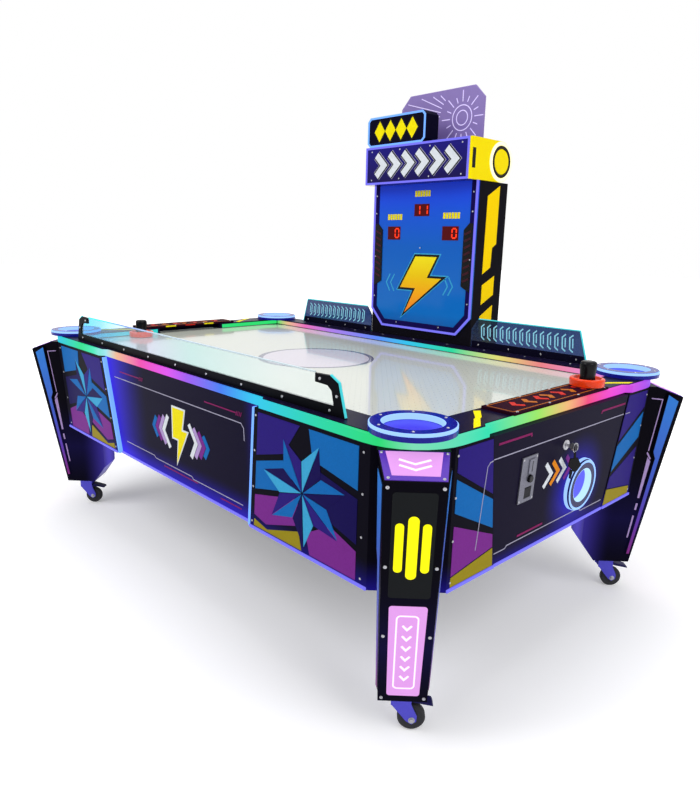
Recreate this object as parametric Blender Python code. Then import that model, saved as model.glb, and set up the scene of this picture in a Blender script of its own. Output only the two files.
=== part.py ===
"""Air hockey table with a score tower, modelled as separate parts in metres, +Z up.

X runs along the table, Y runs across it towards the tower, and the origin lies on the
floor under the middle of the whole object's box.
"""
import math

import bmesh
import bpy
from mathutils import Matrix, Vector

# Cabinet
HALF_X = 1.132
HALF_Y = 0.676
TOP_Z = 0.800
PANEL_Z = 0.409
PANEL_LEAN = 0.019
RECESS = 0.016
WALL = 0.040
RECESS_HALF_X = 0.524
RECESS_HALF_X_LOW = 0.466
RECESS_HALF_Y = 0.382
RECESS_HALF_Y_LOW = 0.313
JOG_RUN = 0.020
CORNER_RADIUS = 0.170
CORNER_CUT = 0.100
FLOOR_THICK = 0.018

# Playing top
FIELD_HALF_X = 1.000
FIELD_HALF_Y = 0.556
FIELD_THICK = 0.012
STRIP_HEIGHT = 0.024
STRIP_DEPTH = 0.014
RAIL_HEIGHT = 0.026
GOAL_HALF = 0.175
GOAL_DEPTH = 0.070
COVER_HALF = 0.265
COVER_IN = 0.006
COVER_OUT = 0.112
COVER_THICK = 0.008
FIELD_EDGE_GAP = 0.002
GOAL_STEP = 0.008
OVERCUT = 0.010

# Corner ring cups
RING_X = 1.030
RING_Y = 0.5735
RING_RADIUS = 0.109
RING_LIP_RADIUS = 0.105
RING_OPENING = 0.0786
RING_TOP_Z = 0.849
RING_LIP = 0.011
RING_FLOOR = 0.004

# Legs, measured along the corner's diagonal from the cabinet's square corner
LEG_APEX = 0.035
LEG_APEX_Z = 0.762
LEG_TOP_OUT = -0.066
LEG_FOOT_OUT = -0.078
LEG_FOOT_IN = -0.207
LEG_HEEL = -0.258
LEG_HEEL_Z = 0.200
LEG_FOOT_Z = 0.1285
LEG_HALF_TOP = 0.085
LEG_HALF_APEX = 0.071
LEG_HALF_FOOT = 0.063

# Casters
CASTER_RADIUS = 0.0375
CASTER_WIDTH = 0.026
CASTER_TRAIL = 0.030
CASTER_AXIS = -0.1425
FORK_INNER = 0.034
FORK_WALL = 0.004
FORK_TOP_Z = 0.112
FORK_FRONT = -0.026
FORK_REAR = 0.028
FORK_SKIRT = 0.030
FORK_EYE = 0.014
HEAD_RADIUS = 0.024
HEAD_TOP_Z = 0.119
STEM_RADIUS = 0.013
HUB_RADIUS = 0.010
TREAD_ROUND = 0.006
PEDAL_PIVOT = (0.030, 0.093)
PEDAL_PROFILE = ((0.022, 0.090), (0.026, 0.097), (0.034, 0.098), (0.082, 0.086), (0.086, 0.079), (0.060, 0.083))
PEDAL_GAP = 0.0015

# Guards
GUARD_Y = 0.630
GUARD_THICK = 0.012
GUARD_HALF = 0.855
GUARD_BAR_Z = 0.853
GUARD_POST = 0.815
GUARD_HOOK_OUT = ((0.829, 0.914), (0.797, 0.929), (0.741, 0.927))
GUARD_HOOK_IN = ((0.741, 0.905), (0.790, 0.903), (0.806, 0.891))
GUARD_SHEET_Z = 0.928
SHEET_THICK = 0.006
SHEET_EDGE_GAP = 0.0008
BACK_GUARD_IN = 0.310
BACK_GUARD_LOW = 0.848
BACK_GUARD_HIGH = 0.810
BACK_GUARD_Z = 0.950
BACK_GUARD_CUT = (0.030, 0.040)

# Tower
TOWER_HALF = 0.303
TOWER_FACE_Y = 0.620
TOWER_BACK_Y = 0.830
TOWER_TOP_Z = 1.5257
TOWER_FOOT_Z = 0.600
TOWER_WALL = 0.015
FACE_THICK = 0.006
FACE_LOW_Z = 0.868
FACE_CHAMFER_Z = 0.948
FACE_LOW_HALF = 0.228
BACK_COVER_THICK = 0.008
BACK_COVER_SET = 0.001
HEADER_HALF = 0.297
HEADER_FRONT_Y = 0.550
HEADER_ROUND_Y = 0.754
HEADER_LOW_Z = 1.526
HEADER_TOP_Z = 1.690
CHEEK_THICK = 0.014
LEFT_CHEEK_SET_BACK = 0.018
CHEEK_STEPS = 16
SIGN_LEFT = -0.289
SIGN_RIGHT = 0.057
SIGN_DEPTH = 0.085
SIGN_TOP_Z = 1.818
SIGN_CUT = 0.014
CREST_Y = 0.716
CREST_THICK = 0.008
CREST_HALF = 0.235
CREST_TOP_Z = 1.925
CREST_CUT = 0.052

# End door fittings: across the door, up the door from its hinge, out of its face
DOOR_RECESS = 0.002
DOOR_THICK = WALL - RECESS
DOOR_SIDE_GAP = 0.003
DOOR_TOP_GAP = 0.003
COIN_AT = (-0.194, 0.231)
COIN_HALF = (0.0375, 0.0675)
COIN_BODY_HALF = (0.030, 0.058)
COIN_BODY_DEPTH = 0.055
COIN_PLATE_THICK = 0.004
BUTTON_AT = (-0.1855, 0.231)
BUTTON_RADIUS = 0.011
BUTTON_OUT = 0.011
BUTTON_ROUND = 0.002
BUTTON_ROOT = -0.008
BUTTON_WELL = -0.020
FLAP_AT = (-0.1875, 0.1895)
FLAP_HALF = (0.016, 0.015)
FLAP_THICK = 0.003
FLAP_POCKET = -0.040
FLAP_SWING_ROOM = 0.0025
KEY_AT = (0.002, 0.290)
KEY_RADIUS = 0.009
KEY_HEAD = 0.004
KEY_BLADE = 0.0012
KEY_BOW = ((0.004, 0.002), (0.004, 0.012), (0.011, 0.018), (0.011, 0.032), (0.005, 0.038))
RETURN_AT = (0.116, 0.140)
RETURN_FLANGE = 0.082
RETURN_OUTER = 0.060
RETURN_INNER = 0.055
RETURN_DEPTH = 0.075
RETURN_LIP = 0.016
RETURN_ROUND = 0.006
RETURN_WALL = 0.004
DUCT_WALL = 0.003
CHUTE_LOW_RISE = 0.262
CHUTE_HIGH = (-0.180, 0.330)
CHUTE_THICK = 0.006
CHUTE_INNER = -0.114

# Air supply
PLENUM_HALF = (0.970, 0.540)
PLENUM_Z = 0.700
PLENUM_WALL = 0.012
BLOWER_AT = (-0.350, 0.0)
BLOWER_RADIUS = 0.130
BLOWER_Z = 0.585
BLOWER_WALL = 0.004
BLOWER_OUTLET = 0.055
IMPELLER_RADIUS = 0.110
IMPELLER_ROOT = 0.078
IMPELLER_BLADES = 12
IMPELLER_HEIGHT = 0.0675
BOSS_RADIUS = 0.042
BOSS_HEIGHT = 0.027
INTAKE_HALF = 0.050
INTAKE_Z = (0.008, 0.060)

# Mallets, one parked on the right goal cover and one on the playfield
MALLET_AT = {"right": (1.060, 0.222), "left": (-0.940, -0.300)}
MALLET_RADIUS = 0.054
MALLET_HEIGHT = 0.080
MALLET_KNOB = 0.026
MALLET_RIM_Z = 0.027
MALLET_DISH_Z = 0.018

GAP = 0.0003
LOOSE = 0.001
HALF_ROOT = math.sqrt(0.5)
LEG_REACH = (LEG_APEX + LEG_HALF_APEX) * HALF_ROOT
CHEEK_RADIUS = (HEADER_TOP_Z - HEADER_LOW_Z) / 2
FRAME_Y = -(HEADER_ROUND_Y + CHEEK_RADIUS - HALF_Y - LEG_REACH) / 2
RAIL_TOP_Z = TOP_Z + GAP + RAIL_HEIGHT
SEAT_Z = RAIL_TOP_Z + GAP
ENDS = {"right": 1, "left": -1}
CORNERS = {
    "near_right": (1, -1),
    "far_right": (1, 1),
    "near_left": (-1, -1),
    "far_left": (-1, 1),
}
FINISHES = {}


def finish(name, colour, roughness, metallic=0.0):
    """Give the named Principled material, made on its first use."""
    if name not in FINISHES:
        material = bpy.data.materials.new(name)
        material.use_nodes = True
        shader = material.node_tree.nodes["Principled BSDF"]
        shader.inputs["Base Color"].default_value = (*colour, 1.0)
        shader.inputs["Roughness"].default_value = roughness
        shader.inputs["Metallic"].default_value = metallic
        FINISHES[name] = material
    return FINISHES[name]


def black_panel():
    """Black laminated board."""
    return finish("black_laminate", (0.012, 0.011, 0.018), 0.3)


def indigo_panel():
    """Indigo printed board."""
    return finish("indigo_print", (0.05, 0.03, 0.25), 0.3)


def steel():
    """Zinc-plated steel."""
    return finish("plated_steel", (0.55, 0.55, 0.58), 0.3, 1.0)


def rubber():
    """Black wheel and pedal plastic."""
    return finish("black_plastic", (0.02, 0.02, 0.022), 0.5)


def clear_sheet():
    """Clear acrylic sheet."""
    return finish("clear_acrylic", (0.75, 0.9, 0.95), 0.08)


def yellow_plastic():
    """Yellow glossy plastic."""
    return finish("yellow_plastic", (0.85, 0.62, 0.02), 0.3)


def put(name, shape, material, pivot=(0.0, 0.0, 0.0)):
    """Make a named object of a bmesh in table coordinates, with its origin at the pivot."""
    bmesh.ops.recalc_face_normals(shape, faces=shape.faces)
    bmesh.ops.translate(shape, verts=shape.verts, vec=-Vector(pivot))
    mesh = bpy.data.meshes.new(name)
    shape.to_mesh(mesh)
    shape.free()
    mesh.materials.append(material)
    piece = bpy.data.objects.new(name, mesh)
    bpy.context.scene.collection.objects.link(piece)
    piece.parent = table_frame
    piece.location = pivot
    return piece


def smooth(piece, angle=0.6):
    """Shade a round piece smooth, keeping its hard edges."""
    piece.data.shade_smooth()
    piece.data.set_sharp_from_angle(angle=angle)
    return piece


def combine(piece, shape, operation):
    """Join a bmesh to a piece, or cut it out, with a hidden tool object."""
    tool = put(piece.name + "_tool", shape, black_panel())
    tool.hide_render = True
    tool.display_type = "WIRE"
    modifier = piece.modifiers.new(operation.lower(), "BOOLEAN")
    modifier.operation = operation
    modifier.object = tool
    return piece


def loft(low, high):
    """Close the space between two loops with the same number of points."""
    shape = bmesh.new()
    bottom = [shape.verts.new(point) for point in low]
    top = [shape.verts.new(point) for point in high]
    count = len(low)
    shape.faces.new(bottom)
    shape.faces.new(top)
    for index in range(count):
        following = (index + 1) % count
        shape.faces.new((bottom[index], bottom[following], top[following], top[index]))
    return shape


def slab(outline, axis, low, high):
    """Extrude a flat outline along X, Y or Z; it is given in the other two axes, in order."""
    place = {
        "X": lambda point, depth: (depth, point[0], point[1]),
        "Y": lambda point, depth: (point[0], depth, point[1]),
        "Z": lambda point, depth: (point[0], point[1], depth),
    }[axis]
    return loft([place(point, low) for point in outline], [place(point, high) for point in outline])


def block(low, high):
    """A box between two corners."""
    outline = [(low[0], low[1]), (high[0], low[1]), (high[0], high[1]), (low[0], high[1])]
    return slab(outline, "Z", low[2], high[2])


def turn(profile, steps=32):
    """Turn (radius, height) points about Z: a closed loop, or a line from axis to axis."""
    shape = bmesh.new()
    rings = []
    for radius, height in profile:
        if radius == 0:
            rings.append([shape.verts.new((0, 0, height))] * steps)
            continue
        angles = [2 * math.pi * step / steps for step in range(steps)]
        rings.append([shape.verts.new((radius * math.cos(a), radius * math.sin(a), height)) for a in angles])
    on_axis = profile[0][0] == 0
    pairs = list(zip(rings, rings[1:])) if on_axis else list(zip(rings, rings[1:] + rings[:1]))
    for lower, upper in pairs:
        for step in range(steps):
            following = (step + 1) % steps
            corners = [lower[step], lower[following], upper[following], upper[step]]
            shape.faces.new(list(dict.fromkeys(corners)))
    return shape


def moved(shape, matrix):
    """Carry a bmesh by a matrix."""
    bmesh.ops.transform(shape, matrix=matrix, verts=shape.verts)
    return shape


def clip(outline, normal, limit):
    """Keep the part of an outline where normal . point is at most the limit."""
    kept = []
    for index, point in enumerate(outline):
        before = outline[index - 1]
        reach_before = normal[0] * before[0] + normal[1] * before[1] - limit
        reach = normal[0] * point[0] + normal[1] * point[1] - limit
        if (reach_before <= 0) != (reach <= 0):
            share = reach_before / (reach_before - reach)
            kept.append(tuple(before[i] + share * (point[i] - before[i]) for i in (0, 1)))
        if reach <= 0:
            kept.append(point)
    return kept


def top_outline(inset, steps=8):
    """The table's rounded outline with its recessed middles, moved in by the inset."""
    radius = CORNER_RADIUS - inset
    quarter = [(HALF_X - RECESS - inset, RECESS_HALF_Y), (HALF_X - inset, RECESS_HALF_Y + JOG_RUN)]
    for step in range(steps + 1):
        angle = math.pi / 2 * step / steps
        across = HALF_X - CORNER_RADIUS + radius * math.cos(angle)
        along = HALF_Y - CORNER_RADIUS + radius * math.sin(angle)
        quarter.append((across, along))
    quarter += [(RECESS_HALF_X + JOG_RUN, HALF_Y - inset), (RECESS_HALF_X, HALF_Y - RECESS - inset)]
    outline = list(quarter)
    outline += [(-x, y) for x, y in reversed(quarter)]
    outline += [(-x, -y) for x, y in quarter]
    outline += [(x, -y) for x, y in reversed(quarter)]
    return outline


def chamfered(half_x, half_y, reach):
    """A rectangle whose corners are cut where x + y passes the reach."""
    quarter = [(half_x, reach - half_x), (reach - half_y, half_y)]
    outline = list(quarter)
    outline += [(-x, y) for x, y in reversed(quarter)]
    outline += [(-x, -y) for x, y in quarter]
    outline += [(x, -y) for x, y in reversed(quarter)]
    return outline


def build_playing_top():
    """Playfield, rails, light strip and goal covers."""
    white = finish("white_laminate", (0.8, 0.82, 0.84), 0.25)
    field_reach = HALF_X + HALF_Y - (CORNER_CUT + WALL + 2 * FIELD_EDGE_GAP) / HALF_ROOT
    field_outline = chamfered(HALF_X - WALL - FIELD_EDGE_GAP, HALF_Y - WALL - FIELD_EDGE_GAP, field_reach)
    field = put("playfield", slab(field_outline, "Z", TOP_Z - FIELD_THICK, TOP_Z), white)
    outer = top_outline(0.0)
    inner = top_outline(STRIP_DEPTH)
    strip = bmesh.new()
    loops = []
    low, high = TOP_Z + GAP, TOP_Z + GAP + STRIP_HEIGHT
    for outline, height in ((outer, low), (outer, high), (inner, high), (inner, low)):
        loops.append([strip.verts.new((x, y, height)) for x, y in outline])
    for first, second in zip(loops, loops[1:] + loops[:1]):
        for index in range(len(first)):
            strip.faces.new((first[index - 1], first[index], second[index], second[index - 1]))
    put("light_strip", strip, finish("light_diffuser", (0.8, 0.85, 0.9), 0.4))

    rail_outline = top_outline(STRIP_DEPTH + GAP)
    for name, side in (("rail_near", -1), ("rail_far", 1)):
        outline = clip(rail_outline, (0, -side), -FIELD_HALF_Y)
        put(name, slab(outline, "Z", TOP_Z + GAP, RAIL_TOP_Z), black_panel())
    for name, side in ENDS.items():
        outline = clip(rail_outline, (-side, 0), -FIELD_HALF_X)
        outline = clip(outline, (0, 1), FIELD_HALF_Y - GAP)
        outline = clip(outline, (0, -1), FIELD_HALF_Y - GAP)
        rail = put("rail_" + name, slab(outline, "Z", TOP_Z + GAP, RAIL_TOP_Z), black_panel())
        slot_ends = sorted((side * (FIELD_HALF_X - OVERCUT), side * (FIELD_HALF_X + GOAL_DEPTH)))
        low = (slot_ends[0], -GOAL_HALF, TOP_Z - OVERCUT)
        combine(rail, block(low, (slot_ends[1], GOAL_HALF, RAIL_TOP_Z + OVERCUT)), "DIFFERENCE")
        drop_ends = sorted((side * (FIELD_HALF_X + GOAL_STEP), side * (FIELD_HALF_X + GOAL_DEPTH)))
        low = (drop_ends[0], -GOAL_HALF, TOP_Z - FIELD_THICK - OVERCUT)
        combine(field, block(low, (drop_ends[1], GOAL_HALF, TOP_Z + OVERCUT)), "DIFFERENCE")
        cover_ends = sorted((side * (FIELD_HALF_X + COVER_IN), side * (FIELD_HALF_X + COVER_OUT)))
        low = (cover_ends[0], -COVER_HALF, SEAT_Z)
        cover = block(low, (cover_ends[1], COVER_HALF, SEAT_Z + COVER_THICK))
        put("goal_cover_" + name, cover, finish("red_plate", (0.25, 0.02, 0.05), 0.35))


def build_rings():
    """Shallow ring cups on the four corners."""
    blue = finish("blue_ring", (0.05, 0.08, 0.5), 0.25)
    lip = RING_TOP_Z - RING_LIP
    profile = [
        (0, SEAT_Z),
        (RING_RADIUS, SEAT_Z),
        (RING_RADIUS, lip),
        (RING_LIP_RADIUS, lip),
        (RING_LIP_RADIUS, RING_TOP_Z),
        (RING_OPENING, RING_TOP_Z),
        (RING_OPENING, SEAT_Z + RING_FLOOR),
        (0, SEAT_Z + RING_FLOOR),
    ]
    for name, (side_x, side_y) in CORNERS.items():
        place = Matrix.Translation((side_x * RING_X, side_y * RING_Y, 0))
        smooth(put("corner_ring_" + name, moved(turn(profile, 40), place), blue))


def cabinet_loop(points, side_x, side_y, height):
    """Set plan points of the first corner at a height, mirrored to another corner."""
    return [(side_x * x, side_y * y, height) for x, y in points]


def build_cabinet():
    """Corner blocks, side panels and floor."""

    def corner_plan(lean, recess_x, recess_y):
        """An L-shaped wall round one corner, cut across where the leg stands."""
        x, y = HALF_X - lean, HALF_Y - lean
        cut = CORNER_CUT / HALF_ROOT
        inside = WALL * (1 / HALF_ROOT - 1)
        return [
            (recess_x, y),
            (x - cut, y),
            (x, y - cut),
            (x, recess_y),
            (x - WALL, recess_y),
            (x - WALL, y - cut - inside),
            (x - cut - inside, y - WALL),
            (recess_x, y - WALL),
        ]

    low = corner_plan(PANEL_LEAN, RECESS_HALF_X_LOW, RECESS_HALF_Y_LOW)
    high = corner_plan(0.0, RECESS_HALF_X, RECESS_HALF_Y)
    for name, (side_x, side_y) in CORNERS.items():
        low_loop = cabinet_loop(low, side_x, side_y, PANEL_Z)
        high_loop = cabinet_loop(high, side_x, side_y, TOP_Z - GAP)
        put("corner_block_" + name, loft(low_loop, high_loop), indigo_panel())

    def side_plan(lean, half):
        """The recessed wall between two corner blocks, on the long side."""
        out, inner = HALF_Y - RECESS - lean, HALF_Y - WALL - lean
        reach = half - 2 * GAP
        return [(-reach, out), (reach, out), (reach, inner), (-reach, inner)]

    for name, side in (("side_panel_near", -1), ("side_panel_far", 1)):
        low_loop = cabinet_loop(side_plan(PANEL_LEAN, RECESS_HALF_X_LOW), 1, side, PANEL_Z)
        high_loop = cabinet_loop(side_plan(0.0, RECESS_HALF_X), 1, side, TOP_Z - GAP)
        put(name, loft(low_loop, high_loop), black_panel())

    floor_reach = HALF_X + HALF_Y - (CORNER_CUT + WALL + DOOR_TOP_GAP) / HALF_ROOT - 2 * PANEL_LEAN
    inner_x = HALF_X - WALL - PANEL_LEAN - DOOR_TOP_GAP
    inner_y = HALF_Y - WALL - PANEL_LEAN - 2 * GAP
    outline = chamfered(inner_x, inner_y, floor_reach)
    put("cabinet_floor", slab(outline, "Z", PANEL_Z, PANEL_Z + FLOOR_THICK), black_panel())


def leg_half(height):
    """Half the leg's width, which tapers from its apex to its foot."""
    share = (height - LEG_FOOT_Z) / (LEG_APEX_Z - LEG_FOOT_Z)
    return LEG_HALF_FOOT + (LEG_HALF_APEX - LEG_HALF_FOOT) * share


def diagonal_point(side_x, side_y, out, across, height):
    """A point out along a corner's diagonal and across it, in table coordinates."""
    x = side_x * HALF_X + HALF_ROOT * (side_x * out - side_y * across)
    y = side_y * HALF_Y + HALF_ROOT * (side_y * out + side_x * across)
    return (x, y, height)


def build_legs():
    """Tapered box legs on the cut corners, each with a sloping shoulder facet."""
    lean_slope = PANEL_LEAN / HALF_ROOT / (TOP_Z - PANEL_Z)

    def back(height):
        """Where the leg's back meets the leaning cut face of the corner block."""
        return -CORNER_CUT - lean_slope * (TOP_Z - height) + GAP

    seat = PANEL_Z - GAP
    shank = [
        (LEG_APEX, LEG_APEX_Z),
        (LEG_FOOT_OUT, LEG_FOOT_Z),
        (LEG_FOOT_IN, LEG_FOOT_Z),
        (LEG_HEEL, LEG_HEEL_Z),
        (LEG_HEEL, seat),
        (back(seat), seat),
        (back(LEG_APEX_Z), LEG_APEX_Z),
    ]
    top = TOP_Z - GAP
    shoulder = [(back(top), top), (LEG_TOP_OUT, top)]
    for name, corner in CORNERS.items():
        shape = bmesh.new()
        sides = []
        for hand in (-1, 1):
            lower = [shape.verts.new(diagonal_point(*corner, r, hand * leg_half(z), z)) for r, z in shank]
            upper = [shape.verts.new(diagonal_point(*corner, r, hand * LEG_HALF_TOP, z)) for r, z in shoulder]
            shape.faces.new(lower)
            shape.faces.new([lower[-1], *upper, lower[0]])
            sides.append(lower + upper)
        left, right = sides
        for index in range(len(left)):
            shape.faces.new((left[index - 1], left[index], right[index], right[index - 1]))
        put("leg_" + name, shape, black_panel())


def build_casters():
    """Swivel casters with a wheel and a brake pedal, all trailing the same way at rest."""
    half_inner = FORK_INNER / 2
    half_outer = half_inner + FORK_WALL
    heading = Matrix.Rotation(math.radians(45), 4, "Z")
    skirt = FORK_TOP_Z - FORK_SKIRT
    crown = [
        (-half_outer, skirt),
        (-half_outer, FORK_TOP_Z),
        (half_outer, FORK_TOP_Z),
        (half_outer, skirt),
        (half_inner, skirt),
        (half_inner, FORK_TOP_Z - FORK_WALL),
        (-half_inner, FORK_TOP_Z - FORK_WALL),
        (-half_inner, skirt),
    ]
    cheek = [
        (FORK_FRONT, skirt + 0.002),
        (FORK_FRONT + 0.004, skirt - 0.002),
        (CASTER_TRAIL - FORK_EYE, CASTER_RADIUS - 0.004),
        (CASTER_TRAIL, CASTER_RADIUS - 0.012),
        (CASTER_TRAIL + 0.012, CASTER_RADIUS - 0.004),
        (CASTER_TRAIL + FORK_EYE, CASTER_RADIUS + 0.012),
        (FORK_REAR, skirt + 0.002),
    ]
    sunk = FORK_TOP_Z - FORK_WALL / 2
    head = [(0, sunk), (HEAD_RADIUS, sunk), (HEAD_RADIUS, HEAD_TOP_Z), (STEM_RADIUS, HEAD_TOP_Z + 0.003)]
    head += [(STEM_RADIUS, LEG_FOOT_Z - GAP), (0, LEG_FOOT_Z - GAP)]
    half_pedal = half_inner - PEDAL_GAP
    tread = CASTER_WIDTH / 2
    hub = half_inner - 2 * GAP
    shoulder = CASTER_RADIUS - 0.005
    wheel = [(0, -hub), (HUB_RADIUS, -hub), (HUB_RADIUS, -tread), (shoulder, -tread)]
    wheel += [(CASTER_RADIUS, TREAD_ROUND - tread), (CASTER_RADIUS, tread - TREAD_ROUND)]
    wheel += [(shoulder, tread), (HUB_RADIUS, tread), (HUB_RADIUS, hub), (0, hub)]
    lie = Matrix.Rotation(math.radians(90), 4, "X")
    for name, corner in CORNERS.items():
        axis = Vector(diagonal_point(*corner, CASTER_AXIS, 0.0, 0.0))
        place = Matrix.Translation(axis) @ heading
        fork = put("caster_fork_" + name, moved(slab(crown, "X", FORK_FRONT, FORK_REAR), place), steel(), axis)
        for hand in (-1, 1):
            sides = sorted((hand * half_inner, hand * half_outer))
            combine(fork, moved(slab(cheek, "Y", *sides), place), "UNION")
        combine(fork, moved(turn(head, 24), place), "UNION")
        wheel_at = place @ Vector((CASTER_TRAIL, 0, CASTER_RADIUS))
        shape = moved(turn(wheel, 28), place @ Matrix.Translation((CASTER_TRAIL, 0, CASTER_RADIUS)) @ lie)
        smooth(put("caster_wheel_" + name, shape, rubber(), wheel_at))
        pivot = place @ Vector((PEDAL_PIVOT[0], 0, PEDAL_PIVOT[1]))
        shape = moved(slab(PEDAL_PROFILE, "Y", -half_pedal, half_pedal), place)
        put("brake_pedal_" + name, shape, rubber(), pivot)


def build_guards():
    """Edge guard with its frame on the near side, and two clear guards beside the tower."""
    low = SEAT_Z
    side = [(GUARD_HALF, low), *GUARD_HOOK_OUT, *GUARD_HOOK_IN, (GUARD_POST, GUARD_BAR_Z)]
    outline = side + [(-x, z) for x, z in reversed(side)]
    front = -GUARD_Y - GUARD_THICK / 2
    put("near_guard_frame", slab(outline, "Y", front, front + GUARD_THICK), black_panel())
    edge = SHEET_EDGE_GAP
    half_sheet = [(GUARD_POST - 2 * edge, GUARD_BAR_Z + GAP)]
    half_sheet += [(x - 2 * edge, z - edge) for x, z in reversed(GUARD_HOOK_IN)]
    half_sheet.append((GUARD_HOOK_IN[0][0] - 2 * edge, GUARD_SHEET_Z))
    outline = half_sheet + [(-x, z) for x, z in reversed(half_sheet)]
    front = -GUARD_Y - SHEET_THICK / 2
    put("near_guard_sheet", slab(outline, "Y", front, front + SHEET_THICK), clear_sheet())
    for name, hand in ENDS.items():
        outline = [(BACK_GUARD_IN, low), (BACK_GUARD_LOW, low), (BACK_GUARD_HIGH, BACK_GUARD_Z)]
        cut_x, cut_z = BACK_GUARD_CUT
        outline += [(BACK_GUARD_IN + cut_x, BACK_GUARD_Z), (BACK_GUARD_IN, BACK_GUARD_Z - cut_z)]
        outline = [(hand * x, z) for x, z in outline]
        back = GUARD_Y + SHEET_THICK / 2
        put("back_guard_" + name, slab(outline, "Y", back - SHEET_THICK, back), clear_sheet())


def build_tower():
    """Score tower with its face, back cover, header, sign box and crest."""
    body_y = TOWER_FACE_Y + FACE_THICK + GAP
    foot_y = HALF_Y - RECESS + GAP
    profile = [
        (body_y, SEAT_Z),
        (foot_y, SEAT_Z),
        (foot_y, TOWER_FOOT_Z),
        (TOWER_BACK_Y, TOWER_FOOT_Z),
        (TOWER_BACK_Y, TOWER_TOP_Z),
        (body_y, TOWER_TOP_Z),
    ]
    tower = put("tower_cabinet", slab(profile, "X", -TOWER_HALF, TOWER_HALF), black_panel())
    inside = TOWER_HALF - TOWER_WALL
    foot_inside = foot_y + TOWER_WALL
    hollow = [
        (body_y + TOWER_WALL, SEAT_Z + TOWER_WALL),
        (foot_inside, SEAT_Z + TOWER_WALL),
        (foot_inside, TOWER_FOOT_Z + TOWER_WALL),
        (TOWER_BACK_Y + OVERCUT, TOWER_FOOT_Z + TOWER_WALL),
        (TOWER_BACK_Y + OVERCUT, TOWER_TOP_Z - TOWER_WALL),
        (body_y + TOWER_WALL, TOWER_TOP_Z - TOWER_WALL),
    ]
    combine(tower, slab(hollow, "X", -inside, inside), "DIFFERENCE")
    fit = inside - 2 * GAP
    cover_y = TOWER_BACK_Y - BACK_COVER_SET
    low = (-fit, cover_y - BACK_COVER_THICK, TOWER_FOOT_Z + TOWER_WALL + 2 * GAP)
    high = (fit, cover_y, TOWER_TOP_Z - TOWER_WALL - 2 * GAP)
    put("tower_back_cover", block(low, high), black_panel())

    outline = [(FACE_LOW_HALF, FACE_LOW_Z), (TOWER_HALF, FACE_CHAMFER_Z), (TOWER_HALF, TOWER_TOP_Z)]
    outline += [(-x, z) for x, z in reversed(outline)]
    face = slab(outline, "Y", TOWER_FACE_Y, TOWER_FACE_Y + FACE_THICK)
    put("tower_face", face, finish("blue_face", (0.01, 0.12, 0.65), 0.12))

    low = (-HEADER_HALF, HEADER_FRONT_Y, HEADER_LOW_Z)
    put("header_box", block(low, (HEADER_HALF, HEADER_ROUND_Y, HEADER_TOP_Z)), indigo_panel())
    middle = (HEADER_LOW_Z + HEADER_TOP_Z) / 2
    round_end = []
    for step in range(CHEEK_STEPS + 1):
        angle = math.pi * (step / CHEEK_STEPS - 0.5)
        round_end.append((HEADER_ROUND_Y + CHEEK_RADIUS * math.cos(angle), middle + CHEEK_RADIUS * math.sin(angle)))
    for name, hand in ENDS.items():
        front = HEADER_FRONT_Y if hand > 0 else HEADER_FRONT_Y + LEFT_CHEEK_SET_BACK
        cheek = [(front, HEADER_TOP_Z), (front, HEADER_LOW_Z)] + round_end
        faces = sorted((hand * (HEADER_HALF + GAP), hand * (HEADER_HALF + GAP + CHEEK_THICK)))
        put("header_cheek_" + name, slab(cheek, "X", *faces), yellow_plastic())

    seat = HEADER_TOP_Z + GAP
    cut = SIGN_CUT
    outline = [(SIGN_LEFT + cut, seat), (SIGN_RIGHT - cut, seat), (SIGN_RIGHT, seat + cut)]
    outline += [(SIGN_RIGHT, SIGN_TOP_Z - cut), (SIGN_RIGHT - cut, SIGN_TOP_Z), (SIGN_LEFT + cut, SIGN_TOP_Z)]
    outline += [(SIGN_LEFT, SIGN_TOP_Z - cut), (SIGN_LEFT, seat + cut)]
    put("sign_box", slab(outline, "Y", HEADER_FRONT_Y, HEADER_FRONT_Y + SIGN_DEPTH), indigo_panel())
    half, cut = CREST_HALF, CREST_CUT
    outline = [(-half, seat), (half, seat), (half, CREST_TOP_Z - cut), (half - cut, CREST_TOP_Z)]
    outline += [(cut - half, CREST_TOP_Z), (-half, CREST_TOP_Z - cut)]
    crest = slab(outline, "Y", CREST_Y, CREST_Y + CREST_THICK)
    put("crest_plate", crest, finish("violet_acrylic", (0.35, 0.2, 0.7), 0.1))


def door_frame(side):
    """Axes of an end door's face: across, up from the hinge and out, at the hinge line."""
    rise = Vector((PANEL_LEAN, 0, TOP_Z - PANEL_Z)).normalized()
    across = Vector((0, 1, 0))
    out = across.cross(rise)
    basis = Matrix((across, rise, out)).transposed().to_4x4()
    hinge = Matrix.Translation((HALF_X - DOOR_RECESS - PANEL_LEAN, 0, PANEL_Z))
    spin = Matrix.Rotation(0.0 if side > 0 else math.pi, 4, "Z")
    return spin @ hinge @ basis


def on_door(side, across, rise, shape):
    """Set a bmesh made about Z on an end door's face."""
    return moved(shape, door_frame(side) @ Matrix.Translation((across, rise, 0)))


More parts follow.
